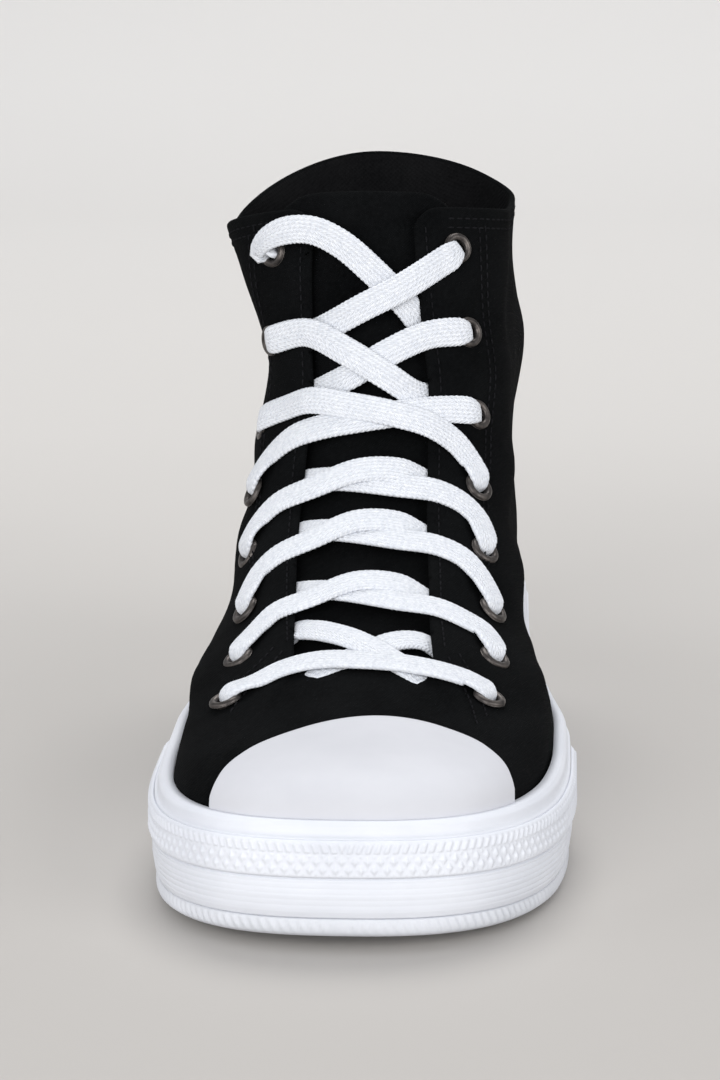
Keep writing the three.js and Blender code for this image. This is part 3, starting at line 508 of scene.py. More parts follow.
def canvas_material(name, dark, light, thread=0.0009):
    """Twill canvas: fine diagonal threads, a soft nap and a little lint."""
    m = Nodes(name, 1.0, specular=0.02, Sheen_Weight=0.004, Sheen_Roughness=0.6)
    cloud = m.noise(45, 4)
    lint = m.noise(900, 2)
    tone = m.math("ADD", m.math("MULTIPLY", cloud, 0.6), m.math("MULTIPLY", lint, 0.4))
    speck = tuple(6 * share for share in light)
    m.colour(m.ramp(tone, ((0.3, dark), (0.62, light), (0.7, light), (0.78, speck))))
    along = m.math("ADD", m.part("Z"), m.math("MULTIPLY", m.part("Y"), 0.8))
    across = m.math("ADD", m.part("X"), m.math("MULTIPLY", m.part("Y"), 0.45))
    weave = m.math("MULTIPLY", m.wave(along, thread), m.wave(across, thread))
    m.bump(weave, 0.00012, 0.6)
    m.bump(m.noise(1400, 2), 0.0002, 0.5)
    return m.material


def rubber_material(name, shade, light, roughness=0.42, grain=0.00004):
    """Moulded rubber: an even skin with faint clouds and handling marks."""
    m = Nodes(name, roughness, specular=0.35)
    m.colour(m.ramp(m.noise(28, 5), ((0.25, shade), (0.7, light))))
    m.rough(m.noise(160, 4), roughness - 0.06, roughness + 0.12)
    m.bump(m.noise(1800, 3), grain, 0.5)
    m.bump(m.noise(90, 3), 0.00015, 0.35)
    return m.material


THREAD_PITCH = 1.5


def lace_material():
    """A flat woven lace: slanted threads in two directions, from the strip's own lengths."""
    m = Nodes("lace_cotton", 0.85, specular=0.15, Sheen_Weight=0.15)
    along, across = m.number("along"), m.number("across")
    slant = m.math("ADD", along, m.math("MULTIPLY", m.math("ABSOLUTE", across), 1.1))
    ribs = m.wave(slant, THREAD_PITCH)
    rows = m.wave(across, 1.14)
    weave = m.math("MULTIPLY", m.math("ADD", ribs, 0.4), m.math("ADD", rows, 0.6))
    # The weave height that drives the bump also sets the colour: raised threads are painted lighter and
    # the hollows between them darker, which is painted shade. The noise adds an uneven tone.
    shade = m.math("ADD", m.math("MULTIPLY", weave, 0.12), m.math("MULTIPLY", m.noise(700, 3), 0.9))
    m.colour(m.ramp(shade, ((0.2, (0.70, 0.73, 0.79)), (0.62, (0.87, 0.89, 0.93)))))
    m.bump(weave, 0.00022, 0.7)
    m.bump(m.noise(2500, 2), 0.0001, 0.4)
    return m.material


def metal_material():
    """Dark gunmetal, worn lighter in places."""
    m = Nodes("eyelet_metal", 0.38, specular=0.5, Metallic=0.85)
    m.colour(m.ramp(m.noise(420, 4), ((0.35, (0.05, 0.045, 0.043)), (0.8, (0.17, 0.15, 0.138)))))
    m.rough(m.noise(600, 3), 0.28, 0.5)
    return m.material


def insole_material():
    """Natural cotton drill over foam."""
    m = Nodes("insole_cotton", 0.95, specular=0.1)
    m.colour(m.ramp(m.noise(60, 4), ((0.3, (0.46, 0.44, 0.39)), (0.7, (0.6, 0.58, 0.52)))))
    weave = m.math("MULTIPLY", m.wave(m.part("Y"), 0.0012), m.wave(m.part("X"), 0.0012))
    m.bump(weave, 0.00015, 0.6)
    return m.material


CANVAS_BLACK = canvas_material("canvas_black", (0.0022, 0.0024, 0.0026), (0.0058, 0.0062, 0.0066))
LINING_BLACK = canvas_material("lining_black", (0.0042, 0.0042, 0.0046), (0.0095, 0.0095, 0.01), 0.0014)
THREAD_BLACK = canvas_material("thread_black", (0.007, 0.007, 0.008), (0.018, 0.018, 0.02), 0.0004)
SIDE_RUBBER = rubber_material("side_rubber", (0.69, 0.71, 0.765), (0.79, 0.81, 0.86))
SOLE_RUBBER = rubber_material("sole_rubber", (0.63, 0.65, 0.69), (0.74, 0.755, 0.8), 0.52)
CAP_RUBBER = rubber_material("cap_rubber", (0.58, 0.585, 0.62), (0.65, 0.655, 0.69), 0.6)
LACE_COTTON = lace_material()
EYELET_METAL = metal_material()
INSOLE_COTTON = insole_material()


# The throat: its middle, its width, and where a point lies in it

THROAT_LEVEL = ridge_level(THROAT_START)


def throat_share(v):
    return np.clip((v - THROAT_LEVEL) / (1 - THROAT_LEVEL), 0, 1)


def throat_middle(v):
    return last_point(0 * v, v)[..., 0] + THROAT_SHIFT


def throat_edge(v):
    """Half of the throat's width at a level."""
    return (THROAT_WIDTH + (THROAT_TOP_WIDTH - THROAT_WIDTH) * throat_share(v) ** 2) / 2


def eyelet_spread(v):
    return throat_edge(v) + EYELET_INSET + EYELET_FLARE * (1 - throat_share(v))


STATIONS = np.linspace(THROAT_LEVEL, 1, 60)
THROAT_FOOT, THROAT_HEAD = last_point(0, THROAT_LEVEL), last_point(0, 1)
THROAT_ALONG = unit((THROAT_HEAD - THROAT_FOOT) * [0, 1, 1])
STATION_UP = (last_point(0 * STATIONS, STATIONS) - THROAT_FOOT) @ THROAT_ALONG
THROAT_LENGTH = STATION_UP[-1]


def throat_place(points):
    """(distance from the throat's middle, distance up the throat) of points on the front."""
    up = (points - THROAT_FOOT) @ THROAT_ALONG
    return points[..., 0] - np.interp(up, STATION_UP, throat_middle(STATIONS)), up


def throat_half(up):
    """Half of the throat's width at a distance up it, with round corners at its foot."""
    low = np.clip(1 - up / THROAT_CORNER, 0, 1)
    return np.interp(up, STATION_UP, throat_edge(STATIONS)) - THROAT_CORNER * corner_drop(low)


def eyelet_column(side):
    def place(v):
        return front_angle(throat_middle(v) + side * eyelet_spread(v), v)
    start = float(bisect(SECTION_AT[3], 1.0,
                         lambda v: last_point(place(v), v)[..., 1] < THROAT_START - EYELET_AHEAD))
    levels = np.linspace(start, 1, 161)
    points = last_point(place(levels), levels)
    lengths = run_lengths(points)
    targets = np.linspace(0, lengths[-1] - EYELET_LAST, EYELET_PAIRS)
    v = np.interp(targets, lengths, levels)
    return place(v), v


EYELETS = {side: eyelet_column(side) for side in (-1, 1)}


def eyelet_spots():
    """The middle and the axis of each eyelet, the inner side's first."""
    angle = np.concatenate([EYELETS[-1][0], EYELETS[1][0]])
    v = np.concatenate([EYELETS[-1][1], EYELETS[1][1]])
    return last_point(angle, v), last_normal(angle, v)


# The upper

# Soft troughs and ridges. Each runs from one place to another on the last, given as degrees round it
# (inner side negative) and a share of its height; bow lifts its middle, width and height are in mm.
FOLDS = (
    (50, 0.50, 112, 0.46, 0.015, 8.0, 2.2),
    (42, 0.60, 108, 0.575, 0.0, 7.0, -1.3),
    (62, 0.385, 118, 0.36, 0.0, 5.0, -1.0),
    (-44, 0.555, -112, 0.50, 0.012, 8.0, 1.5),
    (-40, 0.64, -100, 0.61, 0.0, 6.0, -1.2),
    (-60, 0.43, -112, 0.40, 0.0, 6.0, -0.8),
    (38, 0.71, 84, 0.665, -0.01, 6.0, 1.0),
    (-36, 0.735, -88, 0.70, -0.01, 6.0, 0.9),
    (30, 0.345, 66, 0.255, 0.01, 4.5, -0.8),
    (36, 0.395, 72, 0.305, 0.01, 5.0, 0.8),
    (-30, 0.335, -64, 0.25, 0.01, 4.5, -0.8),
    (-38, 0.385, -70, 0.30, 0.01, 5.0, 0.7),
    (98, 0.70, 150, 0.60, -0.02, 8.0, -0.9),
    (100, 0.80, 150, 0.735, -0.02, 9.0, 0.8),
    (-98, 0.71, -150, 0.615, -0.02, 8.0, -0.9),
    (-104, 0.82, -152, 0.75, -0.02, 9.0, 0.8),
    (74, 0.93, 62, 0.80, 0.0, 8.0, -0.6),
    (-80, 0.95, -66, 0.80, 0.0, 9.0, -1.1),
)
# Long waves that keep the cloth from looking machined: their length in mm, direction and height
WAVES = ((41, (0.6, 0.5, 0.62), 0.28), (27, (-0.5, 0.4, 0.77), 0.18), (17, (0.3, -0.8, 0.52), 0.08))
VAMP_FLARE = 0.3  # the quarters' front edges run apart by this share ahead of the throat
RUBBER_HIDES = 0.14  # below this share of the height the canvas lies flat behind the rubber
PANEL_STEP = 0.7
PANEL_BLEND = 6  # the step of the lower panel fades out over this length at the throat's foot
RELIEF_LIMIT = 3.0
STITCH_DEPTH = 0.22
STITCH_GROOVE_HALF = 0.55
SEAM_RATIO, SEAM_HALF = 1.3, 0.5  # the heel seam's depth against the stitches', and its half width
QUARTER_ROWS = (2.0, 4.6)
EYESTAY_ROWS = (2.2, 20.0, 22.6)
COLLAR_ROWS = (2.4, 5.0)
BACK_ROWS = (1.8, 7.5)


def fold_height(points):
    height = np.zeros(len(points))
    for a0, v0, a1, v1, bow, width, top in FOLDS:
        t = np.linspace(0, 1, 36)
        v = v0 + (v1 - v0) * t + bow * np.sin(math.pi * t)
        line = last_point(np.radians(a0 + (a1 - a0) * t), v)
        gap = np.linalg.norm(points[:, None, :] - line[None, :, :], axis=2)
        nearest = gap.argmin(axis=1)
        fade = np.sin(math.pi * np.clip(t[nearest], 0.02, 0.98)) ** 0.7
        height += top * fade * np.exp(-(gap.min(axis=1) / width) ** 2)
    for length, direction, top in WAVES:
        height += top * np.sin(points @ np.array(direction) * 2 * math.pi / length)
    return height


def quarter_edge(points):
    """How far a point lies outside the edge of the quarters, over the front."""
    off, up = throat_place(points)
    ahead = np.maximum(0, -up)
    return np.abs(off) - (throat_edge(THROAT_LEVEL) + VAMP_FLARE * ahead), up


def stitch_groove(distance, rows):
    return sum(np.exp(-((distance - row) / STITCH_GROOVE_HALF) ** 2) for row in rows)


def upper_relief(angle, v):
    """How far the canvas stands off the last, in mm."""
    points = last_point(angle, v)
    front = np.abs(angle) < math.pi / 2
    edge, up = quarter_edge(points)
    relief = fold_height(points)
    near_foot = ease((THROAT_START + PANEL_BLEND - points[:, 1]) / PANEL_BLEND)
    relief = relief - PANEL_STEP * np.where(front, ease((0.4 - edge) / 0.9), 0) * near_foot
    quarter_rows = np.where(front & (up < 0), stitch_groove(edge, QUARTER_ROWS), 0)
    quarter_rows = quarter_rows * (edge > 0.5)
    collar = (1 - v) * np.linalg.norm(last_slopes(angle, v)[1], axis=-1)
    collar_rows = stitch_groove(collar, COLLAR_ROWS)
    around = np.linalg.norm(last_slopes(angle, v)[0], axis=-1)
    back = np.abs(np.abs(angle) - math.pi) * around
    back_rows = stitch_groove(back, BACK_ROWS) + SEAM_RATIO * np.exp(-(back / SEAM_HALF) ** 2)
    relief = relief - STITCH_DEPTH * (quarter_rows + collar_rows + back_rows)
    return np.minimum(relief, RELIEF_LIMIT) * ease(v / RUBBER_HIDES)


def settle(angle, v, target, read):
    """Moves places over the last until read(points) gives the target pair of lengths."""
    for _ in range(5):
        around, up = last_slopes(angle, v)
        here = last_point(angle, v)
        base = np.stack(read(here), -1)
        step_a = (np.stack(read(here + around * 1e-3), -1) - base) / 1e-3
        step_v = (np.stack(read(here + up * 1e-3), -1) - base) / 1e-3
        off = target - base
        det = step_a[:, 0] * step_v[:, 1] - step_a[:, 1] * step_v[:, 0]
        det = np.where(np.abs(det) < 1e-9, 1e-9, det)
        da = (off[:, 0] * step_v[:, 1] - off[:, 1] * step_v[:, 0]) / det
        dv = (step_a[:, 0] * off[:, 1] - step_a[:, 1] * off[:, 0]) / det
        angle = angle + np.clip(da, -0.1, 0.1)
        v = np.clip(v + np.clip(dv, -0.03, 0.03), 0, 1)
    return angle, v


UPPER_COLUMNS = 320
UPPER_LOW_ROWS = 7
UPPER_ROWS = 132
FLAP_LEVEL = 0.86  # the flaps' tops are rounded above this level
EYELET_REACH = 15  # no face further than this from an eyelet's middle is cut for it
RUBBER_EDGE = 0.12  # the canvas is seen from this share of its height upwards


def round_flaps(angle, v):
    """Lowers the collar towards the throat, so that the flaps end in round corners."""
    beside = np.abs(last_point(angle, v)[:, 0] - throat_middle(v)) - throat_edge(v)
    turn = np.clip(1 - beside / FLAP_CORNER, 0, 1)
    drop = FLAP_CORNER * corner_drop(np.minimum(turn, 0.97)) * (np.abs(angle) < math.pi / 2)
    rise = np.linalg.norm(last_slopes(angle, np.ones_like(v))[1], axis=-1)
    return v - drop / rise * ease((v - FLAP_LEVEL) / (1 - FLAP_LEVEL))


def take_out(faces, open_faces, count):
    """The faces that stay, and the rim's vertices before and after."""
    kept = faces[~open_faces]
    before, after = (set(border(some, count).ravel().tolist()) for some in (faces, kept))
    return kept, before, after


def cut_throat(angle, v, faces):
    """Takes the throat out of the grid and moves its rim onto the outline."""
    v[:] = round_flaps(angle, v)
    points = last_point(angle, v)
    off, up = throat_place(points)
    front = np.abs(angle) < math.pi / 2
    inside = np.maximum(np.abs(off) - throat_half(up), -up)
    middle = inside[faces].mean(axis=1)
    open_faces = (middle < 0) & front[faces].all(axis=1)
    kept, before, after = take_out(faces, open_faces, len(v))
    rim = np.array(sorted(after - before))
    corners = np.array(sorted(after & before & set(faces[open_faces].ravel().tolist())))
    side = np.sign(off[rim])
    reach = np.clip(up[rim], 0, THROAT_LENGTH)
    bottom = (np.abs(off[rim]) < throat_half(reach) - 1.0) & (up[rim] < 3)
    wanted = np.stack([np.where(bottom, off[rim], side * throat_half(reach)), reach], -1)
    below = bottom | (up[rim] < 0)
    round_from = THROAT_WIDTH / 2 - THROAT_CORNER
    past = np.clip((np.abs(off[rim][below]) - round_from) / THROAT_CORNER, 0, 1)
    wanted[below, 1] = THROAT_CORNER * corner_drop(past)
    wanted[below, 0] = np.clip(off[rim][below], -THROAT_WIDTH / 2, THROAT_WIDTH / 2)
    angle[rim], v[rim] = settle(angle[rim], v[rim], wanted, throat_place)
    x = throat_middle(v[corners]) + np.sign(off[corners]) * throat_edge(v[corners])
    angle[corners] = front_angle(x, v[corners])
    return kept


def cut_holes(angle, v, faces):
    """Takes the eyelet holes out of the grid."""
    for middle, axis in zip(*eyelet_spots()):
        points = last_point(angle, v)
        reach = np.linalg.norm(points - middle, axis=1)[faces]
        open_faces = (reach.max(axis=1) < EYELET_REACH) & (reach.mean(axis=1) < EYELET_BARREL)
        faces, before, after = take_out(faces, open_faces, len(v))
        rim = np.array(sorted(after - before))
        if not len(rim):
            continue
        first, second = across_axis(axis)

        def read(p):
            return (p - middle) @ first, (p - middle) @ second

        here = np.stack(read(points[rim]), -1)
        target = unit(here) * (EYELET_BARREL + GAP)
        angle[rim], v[rim] = settle(angle[rim], v[rim], target, read)
    return faces


def surface_points(angle, v, extra=0.0):
    """Points and normals on the canvas with its folds."""
    normals = last_normal(angle, v)
    points = last_point(angle, v) + normals * (upper_relief(angle, v) + extra)[:, None]
    return points, normals


def face_normals(points, faces, fallback):
    """Vertex normals of a quad mesh, turned the way of the fallback."""
    corners = points[faces]
    cross = np.cross(corners[:, 2] - corners[:, 0], corners[:, 3] - corners[:, 1])
    total = np.zeros_like(points)
    for k in range(4):
        np.add.at(total, faces[:, k], cross)
    length = np.linalg.norm(total, axis=1)
    return np.where(length[:, None] > 1e-9, unit(total), fallback)


def make_upper():
    low = np.linspace(0, RUBBER_EDGE, UPPER_LOW_ROWS)[:-1]
    levels = np.concatenate([low, np.linspace(RUBBER_EDGE, 1, UPPER_ROWS)])
    turns = (np.arange(UPPER_COLUMNS) - UPPER_COLUMNS / 2 + 0.5) * 2 * math.pi / UPPER_COLUMNS
    angle, v = (part.ravel().copy() for part in np.meshgrid(turns, levels))
    faces = grid_faces(len(levels), UPPER_COLUMNS)
    faces = cut_throat(angle, v, faces)
    faces = cut_holes(angle, v, faces)
    points, normals = surface_points(angle, v)
    used = np.unique(faces)
    renumber = np.full(len(v), -1)
    renumber[used] = np.arange(len(used))
    faces = renumber[faces]
    points, normals = points[used], normals[used]
    normals = unit(face_normals(points, faces, normals) + 1e-9)
    points, faces, inside = shell(points, normals, faces, CANVAS)
    return make_piece("upper_canvas", points, faces, [CANVAS_BLACK, LINING_BLACK], ["upper"],
                      inside_from=inside)


# Stitches

STITCH_LENGTH = 1.9
STITCH_PITCH = 2.7
STITCH_RADIUS = 0.26


def walk(points, pitch, start=0.0):
    """Places at equal distances along a polyline: their points, directions and share indices."""
    lengths = run_lengths(points)
    targets = np.arange(start, lengths[-1], pitch)
    place = np.interp(targets, lengths, np.arange(len(points)))
    i = np.clip(place.astype(int), 0, len(points) - 2)
    share = (place - i)[:, None]
    return points[i] * (1 - share) + points[i + 1] * share, unit(points[i + 1] - points[i]), i


def stitch_meshes(points, normals):
    """Small rounded threads along a row, each dipping into the cloth at both ends."""
    middles, directions, i = walk(points, STITCH_PITCH, STITCH_PITCH / 2)
    up = normals[i]
    side = np.cross(directions, up)
    rings = ((-0.5, 0.35, -0.75), (-0.36, 0.95, 0.1), (0.0, 1.05, 0.35), (0.36, 0.95, 0.1),
             (0.5, 0.35, -0.75))
    corners = 6
    vertices, faces = [], []
    for at, size, lift in rings:
        for k in range(corners):
            turn = 2 * math.pi * k / corners
            vertices.append(middles + directions * at * STITCH_LENGTH
                            + (side * math.cos(turn) + up * (math.sin(turn) + lift)) * STITCH_RADIUS
                            * np.array([[size]]))
    vertices = np.stack(vertices, 1)
    pattern = [tuple(f) for f in grid_faces(len(rings), corners).tolist()]
    last = (len(rings) - 1) * corners
    pattern += [(0, 2, 1, 1), (0, 3, 2, 2), (0, 4, 3, 3), (0, 5, 4, 4)]
    pattern += [(last, last + k, last + k + 1, last + k + 1) for k in range(1, corners - 1)]
    pattern = np.array(pattern)
    step = len(rings) * corners
    faces = (pattern[None] + (np.arange(len(middles)) * step)[:, None, None]).reshape(-1, 4)
    return vertices.reshape(-1, 3), faces


def join(meshes):
    points, faces, count = [], [], 0
    for vertices, polygons in meshes:
        points.append(vertices)
        faces.append(polygons + count)
        count += len(vertices)
    return np.concatenate(points), np.concatenate(faces)


def ring_place(v, side, distance):
    """The angle at a distance round the section v from the throat's edge."""
    edge = float(front_angle(throat_middle(v) + side * throat_edge(v), v))
    turns = edge + side * np.linspace(0, 1.4, 200)
    points = last_point(turns, np.full(200, v))
    lengths = run_lengths(points)
    return float(np.interp(distance, lengths, turns))


def stitch_paths():
    """The rows of stitches as lists of places on the last."""
    paths = []
    foot = THROAT_LEVEL + 0.012
    for side in (-1, 1):
        for row in EYESTAY_ROWS:
            levels = np.linspace(foot if row < 10 else foot + 0.05, 0.985, 70)
            paths.append((np.array([ring_place(v, side, row) for v in levels]), levels))
        for row in QUARTER_ROWS:
            y = np.linspace(THROAT_START - 1, CAP_LENGTH - 10, 40)
            levels = np.array([ridge_level(value) for value in y])
            points = last_point(0 * levels, levels)
            up = (points - THROAT_FOOT) @ THROAT_ALONG
            x = throat_middle(levels) + side * (THROAT_WIDTH / 2 + row - VAMP_FLARE * up)
            paths.append((front_angle(x, levels), levels))
        for row in BACK_ROWS:
            levels = np.linspace(0.17, 0.985, 80)
            around = np.linalg.norm(last_slopes(np.full(80, math.pi), levels)[0], axis=1)
            paths.append((math.pi - side * row / around, levels))
    for row in COLLAR_ROWS:
        start = ring_place(0.99, 1, 9)
        end = 2 * math.pi + ring_place(0.99, -1, 9)
        turns = np.linspace(start, end, 300)
        up = np.linalg.norm(last_slopes(turns, np.full(300, 0.99))[1], axis=1)
        paths.append((turns, 1 - row / up))
    return paths


def make_stitches():
    meshes = []
    for turns, levels in stitch_paths():
        wrapped = (turns + math.pi) % (2 * math.pi) - math.pi
        points, normals = surface_points(wrapped, levels, 0.12)
        meshes.append(stitch_meshes(points, normals))
    points, faces = join(meshes)
    return make_piece("upper_stitches", points, faces, [THREAD_BLACK])


# The tongue

TONGUE_ROWS = 110
TONGUE_COLUMNS = 44
TONGUE_PUFF = 0.9  # how much the padded middle swells
TONGUE_WRINKLE = 0.35
TONGUE_RIM_ROWS = 8


def make_tongue():
    start = ridge_level(TONGUE_START)
    levels = np.concatenate([np.linspace(start, 1, TONGUE_ROWS), np.ones(TONGUE_RIM_ROWS)])
    lifted = np.linspace(0, 1, TONGUE_RIM_ROWS + 1)[1:] ** 0.8 * TONGUE_TOP
    rises = np.concatenate([np.zeros(TONGUE_ROWS), lifted])
    end = last_point(0, 1)
    step = unit(end - last_point(0, 1 - V_STEP))
    ridge = last_point(0 * levels, levels)
    distance = TONGUE_TOP - rises + np.linalg.norm(ridge - end, axis=1)
    left = np.clip(distance / TONGUE_CORNER, 0.0, 1)
    half = TONGUE_WIDTH / 2 - TONGUE_CORNER * corner_drop(1 - left)
    share = np.linspace(-1, 1, TONGUE_COLUMNS)
    x = throat_middle(levels)[:, None] + half[:, None] * share[None, :]
    v = np.repeat(levels[:, None], TONGUE_COLUMNS, axis=1)
    angle = front_angle(x, v)
    normals = last_normal(angle, v)
    points = last_point(angle, v)
    sunk = ease((points[..., 1] - TONGUE_START) / (THROAT_START - TONGUE_START))
    under = CANVAS + GAP + (LACE_ROOM - GAP) * sunk
    swell = TONGUE_PUFF * np.sin(math.pi * (share + 1) / 2)[None, :] ** 2 * sunk
    wrinkle = TONGUE_WRINKLE * np.sin(levels * 97 + 1.3 * np.sin(levels * 41))[:, None]
    wrinkle = wrinkle * np.cos(share * 1.4)
    under = under + 0.35 - swell * 0.9 - wrinkle * sunk * 0.6
    points = points - normals * under[..., None] + step * rises[:, None, None]
    faces = grid_faces(len(levels), TONGUE_COLUMNS, closed=False)
    points, faces, inside = shell(points.reshape(-1, 3), normals.reshape(-1, 3), faces,
                                  TONGUE_THICKNESS - 0.4)
    tongue = make_piece("tongue_canvas", points, faces, [CANVAS_BLACK, LINING_BLACK],
                        ["tongue"], inside_from=inside)


# The rubber toe cap

CAP_COLUMNS = 150
CAP_ROWS = 60
CAP_LIFT = GAP + CAP_THICKNESS


def cap_rear(x):
    across = np.clip((x - CAP_CENTRE) / CAP_HALF_WIDTH, -1, 1)
    return CAP_LENGTH - CAP_SWEEP * corner_drop(across) + CAP_SLANT * across * CAP_HALF_WIDTH


def cap_levels(x):
    """The lowest and highest level of the cap at each x."""
    low = bisect(np.full_like(x, SECTION_AT[1]), np.full_like(x, SECTION_AT[8]), lambda v: (
        lambda p: p[..., 2] < foxing_top(p[..., 1]) + GAP)(last_point(front_angle(x, v), v)))
    high = bisect(np.full_like(x, SECTION_AT[1]), np.full_like(x, SECTION_AT[8]), lambda v: (
        last_point(front_angle(x, v), v)[..., 1] < cap_rear(x)))
    return low, high


def make_toe_cap():
    probe = CAP_CENTRE + np.linspace(-1, 1, 401) * CAP_HALF_WIDTH * 0.999
    low, high = cap_levels(probe)
    wide = probe[high > low + 0.001]
    middle, half = (wide[0] + wide[-1]) / 2, (wide[-1] - wide[0]) / 2
    x = middle + half * np.sin(np.linspace(-1, 1, CAP_COLUMNS) * math.pi / 2)
    low, high = cap_levels(x)
    low = np.minimum(low, high)
    share = np.linspace(0, 1, CAP_ROWS)[:, None]
    v = low[None, :] + (high - low)[None, :] * share
    xs = np.repeat(x[None, :], CAP_ROWS, axis=0)
    angle = front_angle(xs, v)
    normals = last_normal(angle, v).reshape(-1, 3)
    points = last_point(angle, v).reshape(-1, 3) + normals * CAP_LIFT
    faces = grid_faces(CAP_ROWS, CAP_COLUMNS, closed=False)
    points, faces, _ = shell(points, normals, faces, CAP_THICKNESS, rim=5)
    return make_piece("toe_cap_rubber", points, faces, [CAP_RUBBER], ["toe_cap"])


# The side strip, the ribbed bumper and the outsole

SIDE_GROOVES = (0.075, 0.135, 0.195, 0.255, 0.315, 0.375)
SIDE_GROOVE_DEPTH = 0.3
SIDE_GROOVE_HALF = 0.009
FAINT_LENGTH, FAINTEST = 60, 0.15  # the grooves fade round the toe, down to this share
FOXING_COLUMNS = 640


def at_share(ring, up):
    """Lifts a ring to a share of the side strip's height."""
    bottom, top = foxing_bottom(ring[:, 1]), foxing_top(ring[:, 1])
    ring[:, 2] = bottom + (top - bottom) * up
    return ring


def strip_ring(angles, up, extra=0.0):
    """A ring on the side strip's outside, with its steps, at a share of its height."""
    out = np.interp(up, *zip(*FOXING_PROFILE))
    return at_share(rubber_point(angles, out, extra), up)


def make_foxing():
    ups = [0.0, 0.015, 0.035, 0.055]
    for groove in SIDE_GROOVES:
        ups += [groove + SIDE_GROOVE_HALF * k for k in (-2.2, -1, -0.4, 0.4, 1, 2.2)]
    ups += [0.4, 0.405, 0.413, 0.42, 0.5, 0.6, 0.7, 0.78, 0.83, 0.836, 0.844, 0.85, 0.9, 0.93]
    ups += [0.95, 0.965, 0.98, 0.99, 1.0]
    angles = full_turn(FOXING_COLUMNS)
    rings = []
    for up in ups:
        y = strip_ring(angles, up)[:, 1]
        groove = sum(math.exp(-((up - g) / (SIDE_GROOVE_HALF * 0.9)) ** 2) for g in SIDE_GROOVES)
        clear = ease(np.abs(np.sin(angles)) * 1.6 + (y > FAINT_LENGTH) - 0.35)
        fade = FAINTEST + (1 - FAINTEST) * clear
        rings.append(strip_ring(angles, up, -SIDE_GROOVE_DEPTH * groove * fade))
    y = last_point(angles, RUBBER_LEVEL)[..., 1]
    for up in (1.0, 0.9, 0.6, 0.3, 0.0):
        height = foxing_bottom(y) + (foxing_top(y) - foxing_bottom(y)) * up
        level = bisect(np.zeros_like(y), np.full_like(y, SECTION_AT[5]),
                       lambda v: last_point(angles, v)[..., 2] < height)
        rings.append(at_share(outline_point(angles, level, np.full_like(y, GAP + (up == 1) * 0.25)), up))
    faces = grid_faces(len(rings) + 1, FOXING_COLUMNS) % (len(rings) * FOXING_COLUMNS)
    return make_piece("foxing_rubber", np.concatenate(rings), faces, [SIDE_RUBBER],
                      ["foxing"])


BUMPER_COLUMNS = 1100
BUMPER_ROWS = 30
DIAMOND_PITCH = 3.1
STROKE_PITCH = 2.2
RIBS_FROM, RIBS_BLEND = 78, 14  # the diamonds turn into ribs this far from the toe, along the strip
RELIEF = 0.5


def bumper_relief(along, share):
    """Slanted strokes over two rows of diamonds, and upright ribs towards the ends."""
    end = ease((np.abs(along) - RIBS_FROM) / RIBS_BLEND)
    slant = along + np.sign(along) * -3.2 * (share - 0.8)
    strokes = np.clip(0.5 + 0.9 * np.cos(2 * math.pi * slant / STROKE_PITCH), 0, 1)
    rise = share * 9.5
    first = np.cos(2 * math.pi * (along + rise * 0.72) / DIAMOND_PITCH)
    second = np.cos(2 * math.pi * (along - rise * 0.72) / DIAMOND_PITCH)
    diamonds = np.clip(0.45 + 0.7 * np.minimum(first, second), 0, 1)
    ribs = np.clip(0.5 + 0.9 * np.cos(2 * math.pi * along / STROKE_PITCH), 0, 1)
    low_band = diamonds * (1 - end) + ribs * end
    top = ease((share - 0.66) / 0.03) * ease((0.93 - share) / 0.04)
    low = ease((share - 0.06) / 0.05) * ease((0.62 - share) / 0.03)
    return RELIEF * (strokes * top + low_band * low)


def make_bumper():
    reach = math.acos(1 - 2 * BUMPER_REACH / UPPER_LENGTH)
    fine = np.linspace(-reach, reach, 3001)
    path = rubber_point(fine, 1.0)
    path[:, 2] = 0
    lengths = run_lengths(path)
    half = lengths[-1] / 2
    angles = np.interp(np.linspace(0, lengths[-1], BUMPER_COLUMNS), lengths, fine)
    along = np.linspace(-half, half, BUMPER_COLUMNS)
    ends = ease((half - np.abs(along)) / 3.0)

    def level(share, extra):
        return strip_ring(angles, BUMPER_BOTTOM + (BUMPER_TOP - BUMPER_BOTTOM) * share, extra)

    rings = [level(share, np.full(BUMPER_COLUMNS, GAP * 0.5)) for share in (1.0, 0.0)]
    for share in np.linspace(0, 1, BUMPER_ROWS):
        round_off = 0.55 * (max(0, 1 - share / 0.06) ** 2 + max(0, 1 - (1 - share) / 0.06) ** 2)
        thick = (BUMPER_THICKNESS - 0.15 - round_off + bumper_relief(along, share)) * ends
        rings.append(level(share, GAP * 0.5 + thick))
    faces = grid_faces(len(rings) + 1, BUMPER_COLUMNS, closed=False) % (len(rings) * BUMPER_COLUMNS)
    return make_piece("toe_bumper_rubber", np.concatenate(rings), faces, [SIDE_RUBBER],
                      ["toe_bumper"])


def middle_line(ring):
    """Halfway between each point of a ring and the one across from it."""
    return (ring + ring[(-np.arange(len(ring))) % len(ring)]) / 2


def folded_faces(rings):
    """Faces between rings, of which the first and the last lie on their middle line."""
    rows, columns = len(rings), len(rings[0])
    number = np.arange(rows * columns)
    here = np.arange(columns)
    for row in (0, rows - 1):
        number[row * columns + here] = row * columns + np.minimum(here, (-here) % columns)
    return number[grid_faces(rows, columns)]


OUTSOLE_COLUMNS = 1040
OUTSOLE_STEPS = 40
EDGE_RIB_PITCH = 2.6
EDGE_RIB_DEPTH = 0.32
FINE_TREAD_DEPTH = 0.45
ZIGZAG_WIDTH, ZIGZAG_REACH, ZIGZAG_PITCH = 6.0, 5, 3.0


